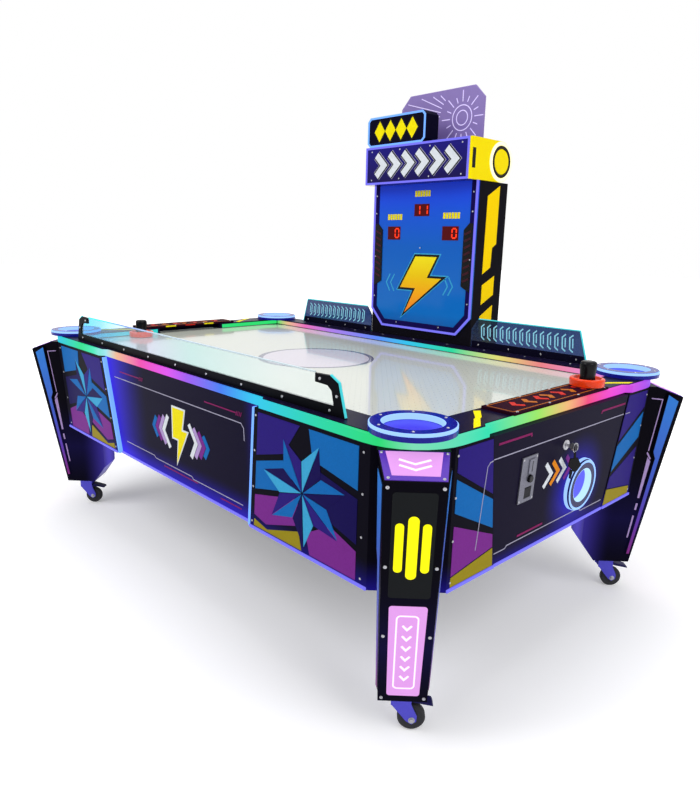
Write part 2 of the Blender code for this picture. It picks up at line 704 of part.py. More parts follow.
def build_puck_return(side, name):
    """Lit cup that pucks fall into, with the gutter that brings them from the goal."""
    profile = [
        (0, -RETURN_DEPTH),
        (RETURN_OUTER, -RETURN_DEPTH),
        (RETURN_OUTER, GAP),
        (RETURN_FLANGE, GAP),
        (RETURN_FLANGE, RETURN_LIP - RETURN_ROUND),
        (RETURN_FLANGE - RETURN_ROUND, RETURN_LIP),
        (RETURN_INNER, RETURN_LIP),
        (RETURN_INNER, RETURN_WALL - RETURN_DEPTH),
        (0, RETURN_WALL - RETURN_DEPTH),
    ]
    shape = on_door(side, *RETURN_AT, turn(profile, 40))
    cup = smooth(put("puck_return_" + name, shape, finish("return_blue", (0.05, 0.08, 0.5), 0.3)))
    frame = door_frame(side)
    middle, rise = RETURN_AT
    near, far = -DOOR_THICK - RETURN_ROUND, LOOSE - RETURN_DEPTH
    half = RETURN_INNER - RETURN_WALL
    duct = block((middle - half, rise + RETURN_INNER / 2, far), (middle + half, CHUTE_LOW_RISE, near))
    combine(cup, moved(duct, frame), "UNION")
    entry = middle - half + DUCT_WALL
    gutter = [CHUTE_HIGH, (entry, CHUTE_LOW_RISE), (entry, CHUTE_LOW_RISE - CHUTE_THICK)]
    gutter.append((CHUTE_HIGH[0], CHUTE_HIGH[1] - CHUTE_THICK))
    combine(cup, moved(slab(gutter, "Z", CHUTE_INNER, near), frame), "UNION")
    bore_low = (middle - half + DUCT_WALL, rise, far + DUCT_WALL)
    bore_high = (middle + half - DUCT_WALL, CHUTE_LOW_RISE + OVERCUT, near - DUCT_WALL)
    combine(cup, moved(block(bore_low, bore_high), frame), "DIFFERENCE")


def door_bore(radius):
    """The profile of a round hole right through an end door."""
    return [(0, -2 * DOOR_THICK), (radius, -2 * DOOR_THICK), (radius, DOOR_THICK), (0, DOOR_THICK)]


def build_end_doors():
    """Bottom-hinged end doors with the puck returns, and the coin fittings on the right one."""

    def door_plan(height):
        """The door's plan at a height, between the leaning edges of the corner blocks."""
        share = (TOP_Z - height) / (TOP_Z - PANEL_Z)
        out = HALF_X - DOOR_RECESS - PANEL_LEAN * share
        half = RECESS_HALF_Y + (RECESS_HALF_Y_LOW - RECESS_HALF_Y) * share - DOOR_SIDE_GAP
        return [(out, -half), (out, half), (out - DOOR_THICK, half), (out - DOOR_THICK, -half)]

    high = TOP_Z - DOOR_TOP_GAP
    for name, side in ENDS.items():
        hinge = door_frame(side).translation
        low_loop = cabinet_loop(door_plan(PANEL_Z), side, side, PANEL_Z)
        shape = loft(low_loop, cabinet_loop(door_plan(high), side, side, high))
        door = put("end_door_" + name, shape, black_panel(), hinge)
        combine(door, on_door(side, *RETURN_AT, turn(door_bore(RETURN_OUTER + LOOSE), 40)), "DIFFERENCE")
        build_puck_return(side, name)
        if side > 0:
            combine(door, on_door(side, *KEY_AT, turn(door_bore(KEY_RADIUS + 2 * GAP), 24)), "DIFFERENCE")
            reach = [half + LOOSE for half in COIN_BODY_HALF]
            hole = block((-reach[0], -reach[1], -2 * DOOR_THICK), (reach[0], reach[1], DOOR_THICK))
            combine(door, on_door(side, *COIN_AT, hole), "DIFFERENCE")


def build_coin_fittings():
    """Coin plate with its reject button and return flap, and the door's key."""
    frame = door_frame(1)
    half_u, half_v = COIN_HALF
    plate = block((-half_u, -half_v, GAP), (half_u, half_v, COIN_PLATE_THICK))
    coin = put("coin_plate", on_door(1, *COIN_AT, plate), steel())
    body_u, body_v = COIN_BODY_HALF
    body = block((-body_u, -body_v, -COIN_BODY_DEPTH), (body_u, body_v, COIN_PLATE_THICK - LOOSE))
    combine(coin, on_door(1, *COIN_AT, body), "UNION")
    well = BUTTON_RADIUS + LOOSE
    bore = [(0, BUTTON_WELL), (well, BUTTON_WELL), (well, DOOR_THICK), (0, DOOR_THICK)]
    combine(coin, on_door(1, *BUTTON_AT, turn(bore, 24)), "DIFFERENCE")
    flap_u, flap_v = FLAP_HALF
    low = (-flap_u - LOOSE, -flap_v - LOOSE, FLAP_POCKET)
    pocket = block(low, (flap_u + LOOSE, flap_v + FLAP_SWING_ROOM, DOOR_THICK))
    combine(coin, on_door(1, *FLAP_AT, pocket), "DIFFERENCE")

    rim = BUTTON_RADIUS - BUTTON_ROUND
    profile = [(0, BUTTON_ROOT), (BUTTON_RADIUS, BUTTON_ROOT), (BUTTON_RADIUS, BUTTON_OUT - BUTTON_ROUND)]
    profile += [(rim, BUTTON_OUT), (0, BUTTON_OUT)]
    pivot = frame @ Vector((*BUTTON_AT, 0))
    red = finish("red_button", (0.6, 0.03, 0.03), 0.3)
    smooth(put("coin_reject_button", on_door(1, *BUTTON_AT, turn(profile, 24)), red, pivot))
    flap = block((-flap_u, -flap_v, COIN_PLATE_THICK - FLAP_THICK), (flap_u, flap_v, COIN_PLATE_THICK))
    pivot = frame @ Vector((FLAP_AT[0], FLAP_AT[1] + flap_v, COIN_PLATE_THICK))
    put("coin_return_flap", on_door(1, *FLAP_AT, flap), rubber(), pivot)
    plug = [(0, -DOOR_THICK), (KEY_RADIUS, -DOOR_THICK), (KEY_RADIUS, KEY_HEAD), (0, KEY_HEAD)]
    pivot = frame @ Vector((*KEY_AT, 0))
    key = put("door_key", on_door(1, *KEY_AT, turn(plug, 24)), steel(), pivot)
    bow = [*KEY_BOW, *((-across, out) for across, out in reversed(KEY_BOW))]
    combine(key, on_door(1, *KEY_AT, slab(bow, "X", -KEY_BLADE, KEY_BLADE)), "UNION")


def build_air_supply():
    """Plenum tray under the playfield, and the blower that feeds it."""
    grey = finish("grey_plastic", (0.3, 0.3, 0.32), 0.5)
    half_x, half_y = PLENUM_HALF
    rim = TOP_Z - FIELD_THICK - GAP
    tray = put("plenum_box", block((-half_x, -half_y, PLENUM_Z), (half_x, half_y, rim)), grey)
    inner = block(
        (PLENUM_WALL - half_x, PLENUM_WALL - half_y, PLENUM_Z + PLENUM_WALL),
        (half_x - PLENUM_WALL, half_y - PLENUM_WALL, rim + OVERCUT),
    )
    combine(tray, inner, "DIFFERENCE")
    centre = Matrix.Translation((*BLOWER_AT, 0))
    port_low, port_high = PLENUM_Z - OVERCUT, PLENUM_Z + PLENUM_WALL + OVERCUT
    port = [(0, port_low), (BLOWER_OUTLET, port_low), (BLOWER_OUTLET, port_high), (0, port_high)]
    combine(tray, moved(turn(port, 32), centre), "DIFFERENCE")

    top = PLENUM_Z - GAP
    inside = BLOWER_RADIUS - BLOWER_WALL
    base = BLOWER_Z + BLOWER_WALL
    boss_z = BLOWER_Z + BOSS_HEIGHT
    housing = [
        (0, BLOWER_Z),
        (BLOWER_RADIUS, BLOWER_Z),
        (BLOWER_RADIUS, top),
        (BLOWER_OUTLET, top),
        (BLOWER_OUTLET, top - BLOWER_WALL),
        (inside, top - BLOWER_WALL),
        (inside, base),
        (BOSS_RADIUS, base),
        (BOSS_RADIUS, boss_z),
        (0, boss_z),
    ]
    shell = smooth(put("blower_housing", moved(turn(housing, 36), centre), grey))
    low = (-2 * BLOWER_RADIUS, -INTAKE_HALF, boss_z + INTAKE_Z[0])
    window = block(low, (2 * BLOWER_RADIUS, INTAKE_HALF, boss_z + INTAKE_Z[1]))
    combine(shell, moved(window, centre), "DIFFERENCE")
    outline = []
    for tooth in range(IMPELLER_BLADES):
        for offset, radius in ((0.0, IMPELLER_ROOT), (0.34, IMPELLER_ROOT), (0.50, IMPELLER_RADIUS)):
            angle = 2 * math.pi * (tooth + offset) / IMPELLER_BLADES
            outline.append((radius * math.cos(angle), radius * math.sin(angle)))
    wheel = moved(slab(outline, "Z", boss_z + GAP, boss_z + IMPELLER_HEIGHT), centre)
    put("blower_impeller", wheel, grey, (*BLOWER_AT, boss_z))


def build_mallets():
    """Felted strikers with a turned knob, one for each player."""
    seats = {"right": SEAT_Z + COVER_THICK + GAP, "left": TOP_Z + GAP}
    profile = [
        (0, 0),
        (MALLET_RADIUS - 0.003, 0),
        (MALLET_RADIUS, 0.003),
        (MALLET_RADIUS, MALLET_RIM_Z - 0.005),
        (MALLET_RADIUS - 0.004, MALLET_RIM_Z),
        (MALLET_RADIUS - 0.011, MALLET_RIM_Z),
        (MALLET_RADIUS - 0.015, MALLET_DISH_Z),
        (MALLET_KNOB, MALLET_DISH_Z),
        (MALLET_KNOB, MALLET_HEIGHT - 0.012),
        (MALLET_KNOB - 0.004, MALLET_HEIGHT - 0.004),
        (MALLET_KNOB - 0.011, MALLET_HEIGHT),
        (0, MALLET_HEIGHT),
    ]
    for name, seat in seats.items():
        place = (*MALLET_AT[name], seat)
        shape = moved(turn(profile, 36), Matrix.Translation(place))
        smooth(put("mallet_" + name, shape, finish("orange_plastic", (0.8, 0.1, 0.03), 0.3), place))


def main():
    """Build every part of the table."""
    build_playing_top()
    build_rings()
    build_cabinet()
    build_legs()
    build_casters()
    build_guards()
    build_tower()
    build_end_doors()
    build_coin_fittings()
    build_air_supply()
    build_mallets()


for old in list(bpy.data.objects):
    bpy.data.objects.remove(old)
table_frame = bpy.data.objects.new("table_frame", None)
table_frame.location = (0.0, FRAME_Y, 0.0)
bpy.context.scene.collection.objects.link(table_frame)
main()
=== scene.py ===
"""Looks of an air hockey table with a score tower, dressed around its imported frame.

Every piece is worked out in metres in the frame's own coordinates. Most pieces are thin plates,
lines and turned rings that lie on a flat face of the frame, so a Face maps flat points to places.
"""
import logging
import math
from dataclasses import dataclass
from enum import Enum

import bmesh
import bpy
import numpy as np
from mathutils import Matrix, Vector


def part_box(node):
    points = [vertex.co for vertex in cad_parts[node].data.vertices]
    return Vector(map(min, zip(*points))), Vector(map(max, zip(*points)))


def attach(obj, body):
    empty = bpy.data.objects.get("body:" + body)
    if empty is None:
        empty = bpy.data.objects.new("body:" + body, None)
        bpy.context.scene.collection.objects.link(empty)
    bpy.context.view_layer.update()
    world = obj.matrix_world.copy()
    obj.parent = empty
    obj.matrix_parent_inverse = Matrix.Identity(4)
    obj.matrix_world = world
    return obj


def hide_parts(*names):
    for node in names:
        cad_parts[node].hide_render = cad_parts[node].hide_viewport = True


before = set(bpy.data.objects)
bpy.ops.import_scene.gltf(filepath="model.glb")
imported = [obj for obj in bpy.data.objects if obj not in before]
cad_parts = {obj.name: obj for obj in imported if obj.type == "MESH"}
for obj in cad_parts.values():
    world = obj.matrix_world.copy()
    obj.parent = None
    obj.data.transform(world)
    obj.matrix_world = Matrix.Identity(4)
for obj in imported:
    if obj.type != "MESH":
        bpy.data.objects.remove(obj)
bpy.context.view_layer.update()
LOG = logging.getLogger("air_hockey_table")

Tree = bpy.types.NodeTree
Socket = bpy.types.NodeSocket
Pair = tuple[float, float]
Triple = tuple[float, float, float]
Path = tuple[Pair, ...]
Colour = tuple[float, float, float, float]
Stops = tuple[tuple[float, str], ...]

MM = 0.001
# The gap between a piece and the surface under it, and the usual heights of prints over a face.
SKIN = 0.0004
LINE_HIGH = 0.0006
BAR_HIGH = 0.0007
PRINT_HIGH = 0.0008
VINYL_HIGH = 0.0012
# The least squared length that a mean normal is divided by, which blunts a sharp corner.
MITER_LEAST = 0.3
# How much a finish's noise varies its roughness and relief, and how fine that noise is.
ROUGH_SPREAD = 0.2
BUMP_STRENGTH = 0.3
NOISE_DETAIL = 4.0
# Lamps under the cabinet and behind its corners, whose light is painted on the boards as glow.
LOW_LAMPS_Z = 0.40
LEG_LAMPS = tuple((x * 0.920, y * 0.464 - 0.0425, 0) for x in (-1, 1) for y in (-1, 1))
# The table's corners and ends, by the way out to each.
CORNERS = {"near_right": (1, -1), "far_right": (1, 1), "near_left": (-1, -1), "far_left": (-1, 1)}
ENDS = {"right": 1, "left": -1}
Z_AXIS = np.array((0.0, 0.0, 1.0))


def vec(*values: float) -> np.ndarray:
    """Give the values as an array of floats."""
    return np.array(values, float)


def unit(direction: np.ndarray) -> np.ndarray:
    """Scale a direction to length 1."""
    return direction / np.linalg.norm(direction)


def low_corner(node: str) -> np.ndarray:
    """Give the lowest corner of a CAD node's box."""
    return vec(*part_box(node)[0])


def high_corner(node: str) -> np.ndarray:
    """Give the highest corner of a CAD node's box."""
    return vec(*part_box(node)[1])


def corners_of(node: str) -> tuple[np.ndarray, np.ndarray]:
    """Give the lowest and the highest corner of a CAD node's box."""
    return low_corner(node), high_corner(node)


class Place:
    """The frame's main measures: places read from its nodes, and how far its sides lean and are set back."""

    centre = (low_corner("light_strip") + high_corner("light_strip")) / 2 * vec(1, 1, 0)
    half_x, half_y, _ = (high_corner("light_strip") - low_corner("light_strip")) / 2
    panel_z = low_corner("side_panel_near")[2]
    top_z = high_corner("playfield")[2]
    rail_z = high_corner("rail_near")[2]
    lean = 0.019
    recess = 0.016
    door_recess = 0.002
    slope = math.hypot(top_z - panel_z, lean)
    corner_cut = 0.100 * math.sqrt(2)


@dataclass(frozen=True)
class Face:
    """A flat face: an origin with its across and up directions, and the way out of it."""

    origin: np.ndarray
    across: np.ndarray
    up: np.ndarray

    @property
    def out(self) -> np.ndarray:
        """The direction out of the face, across x up."""
        return np.cross(self.across, self.up)

    def place(self, flat: np.ndarray, depth: float | np.ndarray) -> np.ndarray:
        """Set flat points in space: origin + u across + v up + depth out.

        Args:
            flat: Points (u, v) in the last axis.
            depth: Height over the face, one value or one for each point.

        Returns:
            The points in space, in the last axis.
        """
        depth = np.broadcast_to(depth, flat.shape[:-1])
        return (
            self.origin
            + flat[..., :1] * self.across
            + flat[..., 1:] * self.up
            + depth[..., None] * self.out
        )

    def shifted(self, flat: Pair, depth: float = 0.0) -> "Face":
        """Give the same face with its origin at a flat point and height."""
        return Face(self.place(vec(*flat), depth), self.across, self.up)


def rectangle(u0: float, v0: float, u1: float, v1: float) -> np.ndarray:
    """Give the corners of a rectangle between two corners."""
    return np.array(((u0, v0), (u1, v0), (u1, v1), (u0, v1)), float)


def rounded(u0: float, v0: float, u1: float, v1: float, radius: float, steps: int = 6) -> np.ndarray:
    """Give a rectangle with round corners: a quarter turn about each corner's centre.

    Args:
        u0, v0, u1, v1: The rectangle's two opposite corners.
        radius: The corners' radius.
        steps: Points for each quarter turn, less one.

    Returns:
        The outline, anticlockwise.
    """
    turn = np.linspace(0, math.pi / 2, steps + 1)
    starts = np.array((math.pi, 1.5 * math.pi, 0.0, 0.5 * math.pi))
    centres = rectangle(u0 + radius, v0 + radius, u1 - radius, v1 - radius)
    angles = starts[:, None] + turn[None, :]
    arcs = centres[:, None, :] + radius * np.stack((np.cos(angles), np.sin(angles)), -1)
    return arcs.reshape(-1, 2)


def disc(centre: Pair, radius: float, steps: int = 32) -> np.ndarray:
    """Give a circle's points: centre + radius (cos a, sin a)."""
    angles = np.linspace(0, 2 * math.pi, steps, endpoint=False)
    return vec(*centre) + radius * np.stack((np.cos(angles), np.sin(angles)), -1)


def anticlockwise(outline: np.ndarray) -> np.ndarray:
    """Turn an outline round where its signed area, half the sum of cross products, is negative."""
    following = np.roll(outline, -1, 0)
    area = np.sum(outline[:, 0] * following[:, 1] - outline[:, 1] * following[:, 0])
    return outline if area > 0 else outline[::-1]


def miters(path: np.ndarray, closed: bool) -> np.ndarray:
    """Give each point's offset to the left by one unit: the mean normal over its squared length.

    Args:
        path: Points (u, v) along a line.
        closed: Whether the line joins its ends.

    Returns:
        One offset for each point.
    """
    after = np.roll(path, -1, 0) - path
    before = path - np.roll(path, 1, 0)
    if not closed:
        after[-1] = before[-1]
        before[0] = after[0]
    normals = [
        np.stack((-way[:, 1], way[:, 0]), -1) / np.linalg.norm(way, axis=1)[:, None]
        for way in (before, after)
    ]
    mean = normals[0] + normals[1]
    return 2 * mean / np.maximum(np.sum(mean * mean, axis=1), MITER_LEAST)[:, None]


def linear(colour: str) -> Colour:
    """Turn an sRGB hex colour to linear light.

    Args:
        colour: Six hex digits after a hash.

    Returns:
        Red, green, blue and full alpha.
    """
    values = np.array([int(colour[i : i + 2], 16) for i in (1, 3, 5)]) / 255
    light = np.where(values <= 0.04045, values / 12.92, ((values + 0.055) / 1.055) ** 2.4)
    return (*light.tolist(), 1.0)


def shade(colour: str, share: float) -> Colour:
    """Give a hex colour's linear light times a share, at most 1."""
    red, green, blue, alpha = linear(colour)
    return (min(red * share, 1), min(green * share, 1), min(blue * share, 1), alpha)


def add_node(
    tree: Tree, kind: str, settings: dict | None = None, inputs: dict | None = None
) -> bpy.types.Node:
    """Add a node with its settings, values and links.

    Args:
        tree: The tree that gets the node.
        kind: The node's type name.
        settings: Attributes of the node by name.
        inputs: Values, or sockets to link from, by input name or number.

    Returns:
        The new node.
    """
    node = tree.nodes.new(kind)
    for name, value in (settings or {}).items():
        setattr(node, name, value)
    for key, value in (inputs or {}).items():
        if isinstance(value, Socket):
            tree.links.new(value, node.inputs[key])
        else:
            node.inputs[key].default_value = value
    return node


def object_place(tree: Tree) -> Socket:
    """Give the socket of Object coordinates, which are the frame's metres."""
    return add_node(tree, "ShaderNodeTexCoord").outputs["Object"]


def vector_math(tree: Tree, operation: str, *inputs: object) -> Socket:
    """Add a vector operation on some inputs, and give its result, a vector or a number.

    Args:
        tree: The tree that gets the node.
        operation: The operation's name.
        inputs: Values, or sockets to link from, in the node's order.

    Returns:
        The result's socket.
    """
    node = add_node(tree, "ShaderNodeVectorMath", {"operation": operation}, dict(enumerate(inputs)))
    return node.outputs["Value" if operation in ("DOT_PRODUCT", "LENGTH", "DISTANCE") else "Vector"]


def number_math(tree: Tree, operation: str, *inputs: object) -> Socket:
    """Add an operation on numbers, in the node's order, and give its result."""
    return add_node(tree, "ShaderNodeMath", {"operation": operation}, dict(enumerate(inputs))).outputs[0]


def map_range(tree: Tree, value: Socket, limits: dict) -> Socket:
    """Carry a value from one range to another, each 0 to 1 where no limit says otherwise."""
    return add_node(tree, "ShaderNodeMapRange", None, {"Value": value, **limits}).outputs["Result"]


def blend(tree: Tree, share: Socket, first: object, second: object) -> Socket:
    """Blend two colours, each a value or a socket, by a share from 0 to 1."""
    return add_node(tree, "ShaderNodeMix", {"data_type": "RGBA"}, {0: share, 6: first, 7: second}).outputs[2]


def noise_of(tree: Tree, size_mm: float, detail: float) -> Socket:
    """Give the value of a noise with flecks of a size in millimetres."""
    inputs = {"Vector": object_place(tree), "Scale": 1 / (size_mm * MM), "Detail": detail}
    return add_node(tree, "ShaderNodeTexNoise", None, inputs).outputs["Fac"]


def seen_rays(tree: Tree) -> Socket:
    """Give 1 for the rays that show a thing straight, in gloss or through a clear sheet, and 0 for others."""
    rays = add_node(tree, "ShaderNodeLightPath")
    seen = rays.outputs["Is Camera Ray"]
    for kind in ("Is Glossy Ray", "Is Transmission Ray"):
        seen = number_math(tree, "MAXIMUM", seen, rays.outputs[kind])
    return seen


@dataclass(frozen=True)
class SurfaceFinish:
    """A mottled finish: a noise of the fleck's size varies its colour, roughness and relief."""

    name: str
    colour: str
    slot: str
    roughness: float = 0.4
    metallic: float = 0.0
    ior: float = 1.5
    specular: float = 0.12
    coat: float = 0.0
    glow: str = ""
    strength: float = 0.0
    fleck_mm: float = 6.0
    mottle: float = 0.12
    relief_mm: float = 0.02

    def build(self) -> bpy.types.Material:
        """Give this finish's material, made on its first use."""
        made = bpy.data.materials.get(self.name)
        if made:
            return made
        material = bpy.data.materials.new(self.name)
        material.use_nodes = True
        tree = material.node_tree
        shader = tree.nodes["Principled BSDF"]
        shader.inputs["Metallic"].default_value = self.metallic
        shader.inputs["Coat Weight"].default_value = self.coat
        shader.inputs["Specular IOR Level"].default_value = self.specular
        if not self.metallic:
            shader.inputs["IOR"].default_value = self.ior
        if self.glow:
            shader.inputs["Emission Color"].default_value = linear(self.glow)
        shader.inputs["Emission Strength"].default_value = self.strength
        self.paint(tree, shader)
        return material

    def paint(self, tree: Tree, shader: bpy.types.Node) -> None:
        """Link the mottled colour and the rough, finely uneven surface to the shader."""
        fleck = self.surface(tree, shader)
        mixed = blend(tree, fleck, shade(self.colour, 1 - self.mottle), shade(self.colour, 1 + self.mottle))
        tree.links.new(mixed, shader.inputs["Base Color"])

    def surface(self, tree: Tree, shader: bpy.types.Node) -> Socket:
        """Link roughness and relief from a noise, and give the noise.

        Args:
            tree: The material's tree.
            shader: Its Principled shader.

        Returns:
            The noise's value socket.
        """
        noise = noise_of(tree, self.fleck_mm, NOISE_DETAIL)
        low, high = self.roughness * (1 - ROUGH_SPREAD), self.roughness * (1 + ROUGH_SPREAD)
        rough = map_range(tree, noise, {"To Min": low, "To Max": high})
        relief = {"Strength": BUMP_STRENGTH, "Distance": self.relief_mm * MM, "Height": noise}
        bump = add_node(tree, "ShaderNodeBump", None, relief)
        tree.links.new(rough, shader.inputs["Roughness"])
        tree.links.new(bump.outputs["Normal"], shader.inputs["Normal"])
        return noise


@dataclass(frozen=True)
class RampFinish(SurfaceFinish):
    """A finish whose colour runs along a direction, and glows with the same colours.

    A lamp's diffuser keeps one plain colour, and only its glow runs.
    """

    direction: Triple = (0.0, 0.0, 1.0)
    span: Pair = (0.0, 1.0)
    stops: Stops = ()
    lamp: bool = False

    def paint(self, tree: Tree, shader: bpy.types.Node) -> None:
        """Link a colour ramp of place . direction, from the span's start to its end."""
        self.surface(tree, shader)
        along = vector_math(tree, "DOT_PRODUCT", object_place(tree), self.direction)
        start, end = self.span
        share = map_range(tree, along, {"From Min": start, "From Max": end})
        ramp = add_node(tree, "ShaderNodeValToRGB", None, {"Fac": share})
        points = ramp.color_ramp.elements
        for index, (at, colour) in enumerate(self.stops):
            where = (at - start) / (end - start)
            point = points[index] if index < 2 else points.new(where)
            point.position = where
            point.color = linear(colour)
        if self.lamp:
            shader.inputs["Base Color"].default_value = linear(self.colour)
        else:
            tree.links.new(ramp.outputs["Color"], shader.inputs["Base Color"])
        if self.strength:
            tree.links.new(ramp.outputs["Color"], shader.inputs["Emission Color"])


@dataclass(frozen=True)
class Glow:
    """Lamp light painted on a surface as glow: strongest at a place, and gone at its reach."""

    place: Triple
    along: Triple
    reach: float
    colour: str


@dataclass(frozen=True)
class GlowFinish(SurfaceFinish):
    """A mottled finish with the light of nearby lamps painted on it as glow."""

    glows: tuple[Glow, ...] = ()

    def paint(self, tree: Tree, shader: bpy.types.Node) -> None:
        """Add each glow's colour by the square of 1 - distance / reach, along the glow's own axes."""
        super().paint(tree, shader)
        total = None
        for glow in self.glows:
            apart = vector_math(tree, "SUBTRACT", object_place(tree), glow.place)
            length = vector_math(tree, "LENGTH", vector_math(tree, "MULTIPLY", apart, glow.along))
            share = map_range(tree, length, {"From Max": glow.reach, "To Min": 1.0, "To Max": 0.0})
            scaled = {0: linear(glow.colour)[:3], "Scale": number_math(tree, "POWER", share, 2.0)}
            light = add_node(tree, "ShaderNodeVectorMath", {"operation": "SCALE"}, scaled).outputs[0]
            total = light if total is None else vector_math(tree, "ADD", total, light)
        tree.links.new(total, shader.inputs["Emission Color"])


@dataclass(frozen=True)
class ClearFinish(RampFinish):
    """Polished acrylic sheet that light passes through."""

    clearness: float = 1.0

    def paint(self, tree: Tree, shader: bpy.types.Node) -> None:
        """Set the tint, along a ramp of painted edge light where there is one, and the share of light let
        through.
        """
        if self.stops:
            super().paint(tree, shader)
        else:
            self.surface(tree, shader)
            shader.inputs["Base Color"].default_value = linear(self.colour)
        shader.inputs["Transmission Weight"].default_value = self.clearness


@dataclass(frozen=True)
class FieldFinish(SurfaceFinish):
    """White polished playing surface with faint tints, a printed circle and rows of air holes drawn as dots
    of painted shade.
    """

    tint: str = "#cdd1c2"
    middle: str = "#cfc8d4"
    mark: str = "#6f7084"
    hole_shade: str = "#55566a"
    tint_mm: float = 700.0
    circle_radius: float = 0.226
    circle_width: float = 0.020
    hole_spacing_mm: float = 25.4
    hole_radius_mm: float = 1.4

    def paint(self, tree: Tree, shader: bpy.types.Node) -> None:
        """Link white, tinted by a broad noise, then darkened on the printed marks, and with painted shade in
        the holes.
        """
        self.surface(tree, shader)
        place = object_place(tree)
        tinted = blend(tree, noise_of(tree, self.tint_mm, 1.0), linear(self.colour), linear(self.tint))
        flat = vector_math(tree, "MULTIPLY_ADD", place, (1, 1, 0), -Place.centre)
        radius = vector_math(tree, "LENGTH", flat)
        ring = number_math(tree, "COMPARE", radius, self.circle_radius, self.circle_width / 2)
        inside = number_math(tree, "LESS_THAN", radius, self.circle_radius)
        filled = blend(tree, inside, tinted, linear(self.middle))
        marked = blend(tree, ring, filled, linear(self.mark))
        # Air holes: a dot of painted shade in the middle of each cell of the hole grid.
        pitch = 1 / (self.hole_spacing_mm * MM)
        cell = vector_math(tree, "FRACTION", vector_math(tree, "MULTIPLY", place, (pitch, pitch, 0)))
        reach = vector_math(tree, "DISTANCE", cell, (0.5, 0.5, 0))
        hole_shade_mask = number_math(tree, "LESS_THAN", reach, self.hole_radius_mm / self.hole_spacing_mm)
        with_hole_shade = blend(tree, hole_shade_mask, marked, linear(self.hole_shade))
        tree.links.new(with_hole_shade, shader.inputs["Base Color"])


def lit(name: str, colour: str, glow: str, strength: float) -> SurfaceFinish:
    """Give frosted acrylic with lamps behind it, which is dark under its own light."""
    return SurfaceFinish(name, colour, "light_diffuser", 0.5, glow=glow, strength=strength)


def printed(name: str, colour: str, slot: str = "indigo_print") -> SurfaceFinish:
    """Give printed vinyl under a satin laminate."""
    return SurfaceFinish(name, colour, slot, 0.4, specular=0.02)


def rainbow(name: str, stops: Stops, strength: float) -> RampFinish:
    """Give a diffuser over colour-changing lamps, whose colours run round the table along x + y."""
    lowest = -Place.half_x
    highest = lowest + 2 * (Place.half_x + Place.half_y)
    shift = Place.centre[1] - Place.half_y
    span = (lowest + shift, highest + shift)
    moved = tuple((at + shift, colour) for at, colour in stops)
    return RampFinish(
        name, "#1c1c22", "light_diffuser", 0.5, specular=0.04, strength=strength,
        direction=(1, 1, 0), span=span, stops=moved, lamp=True,
    )


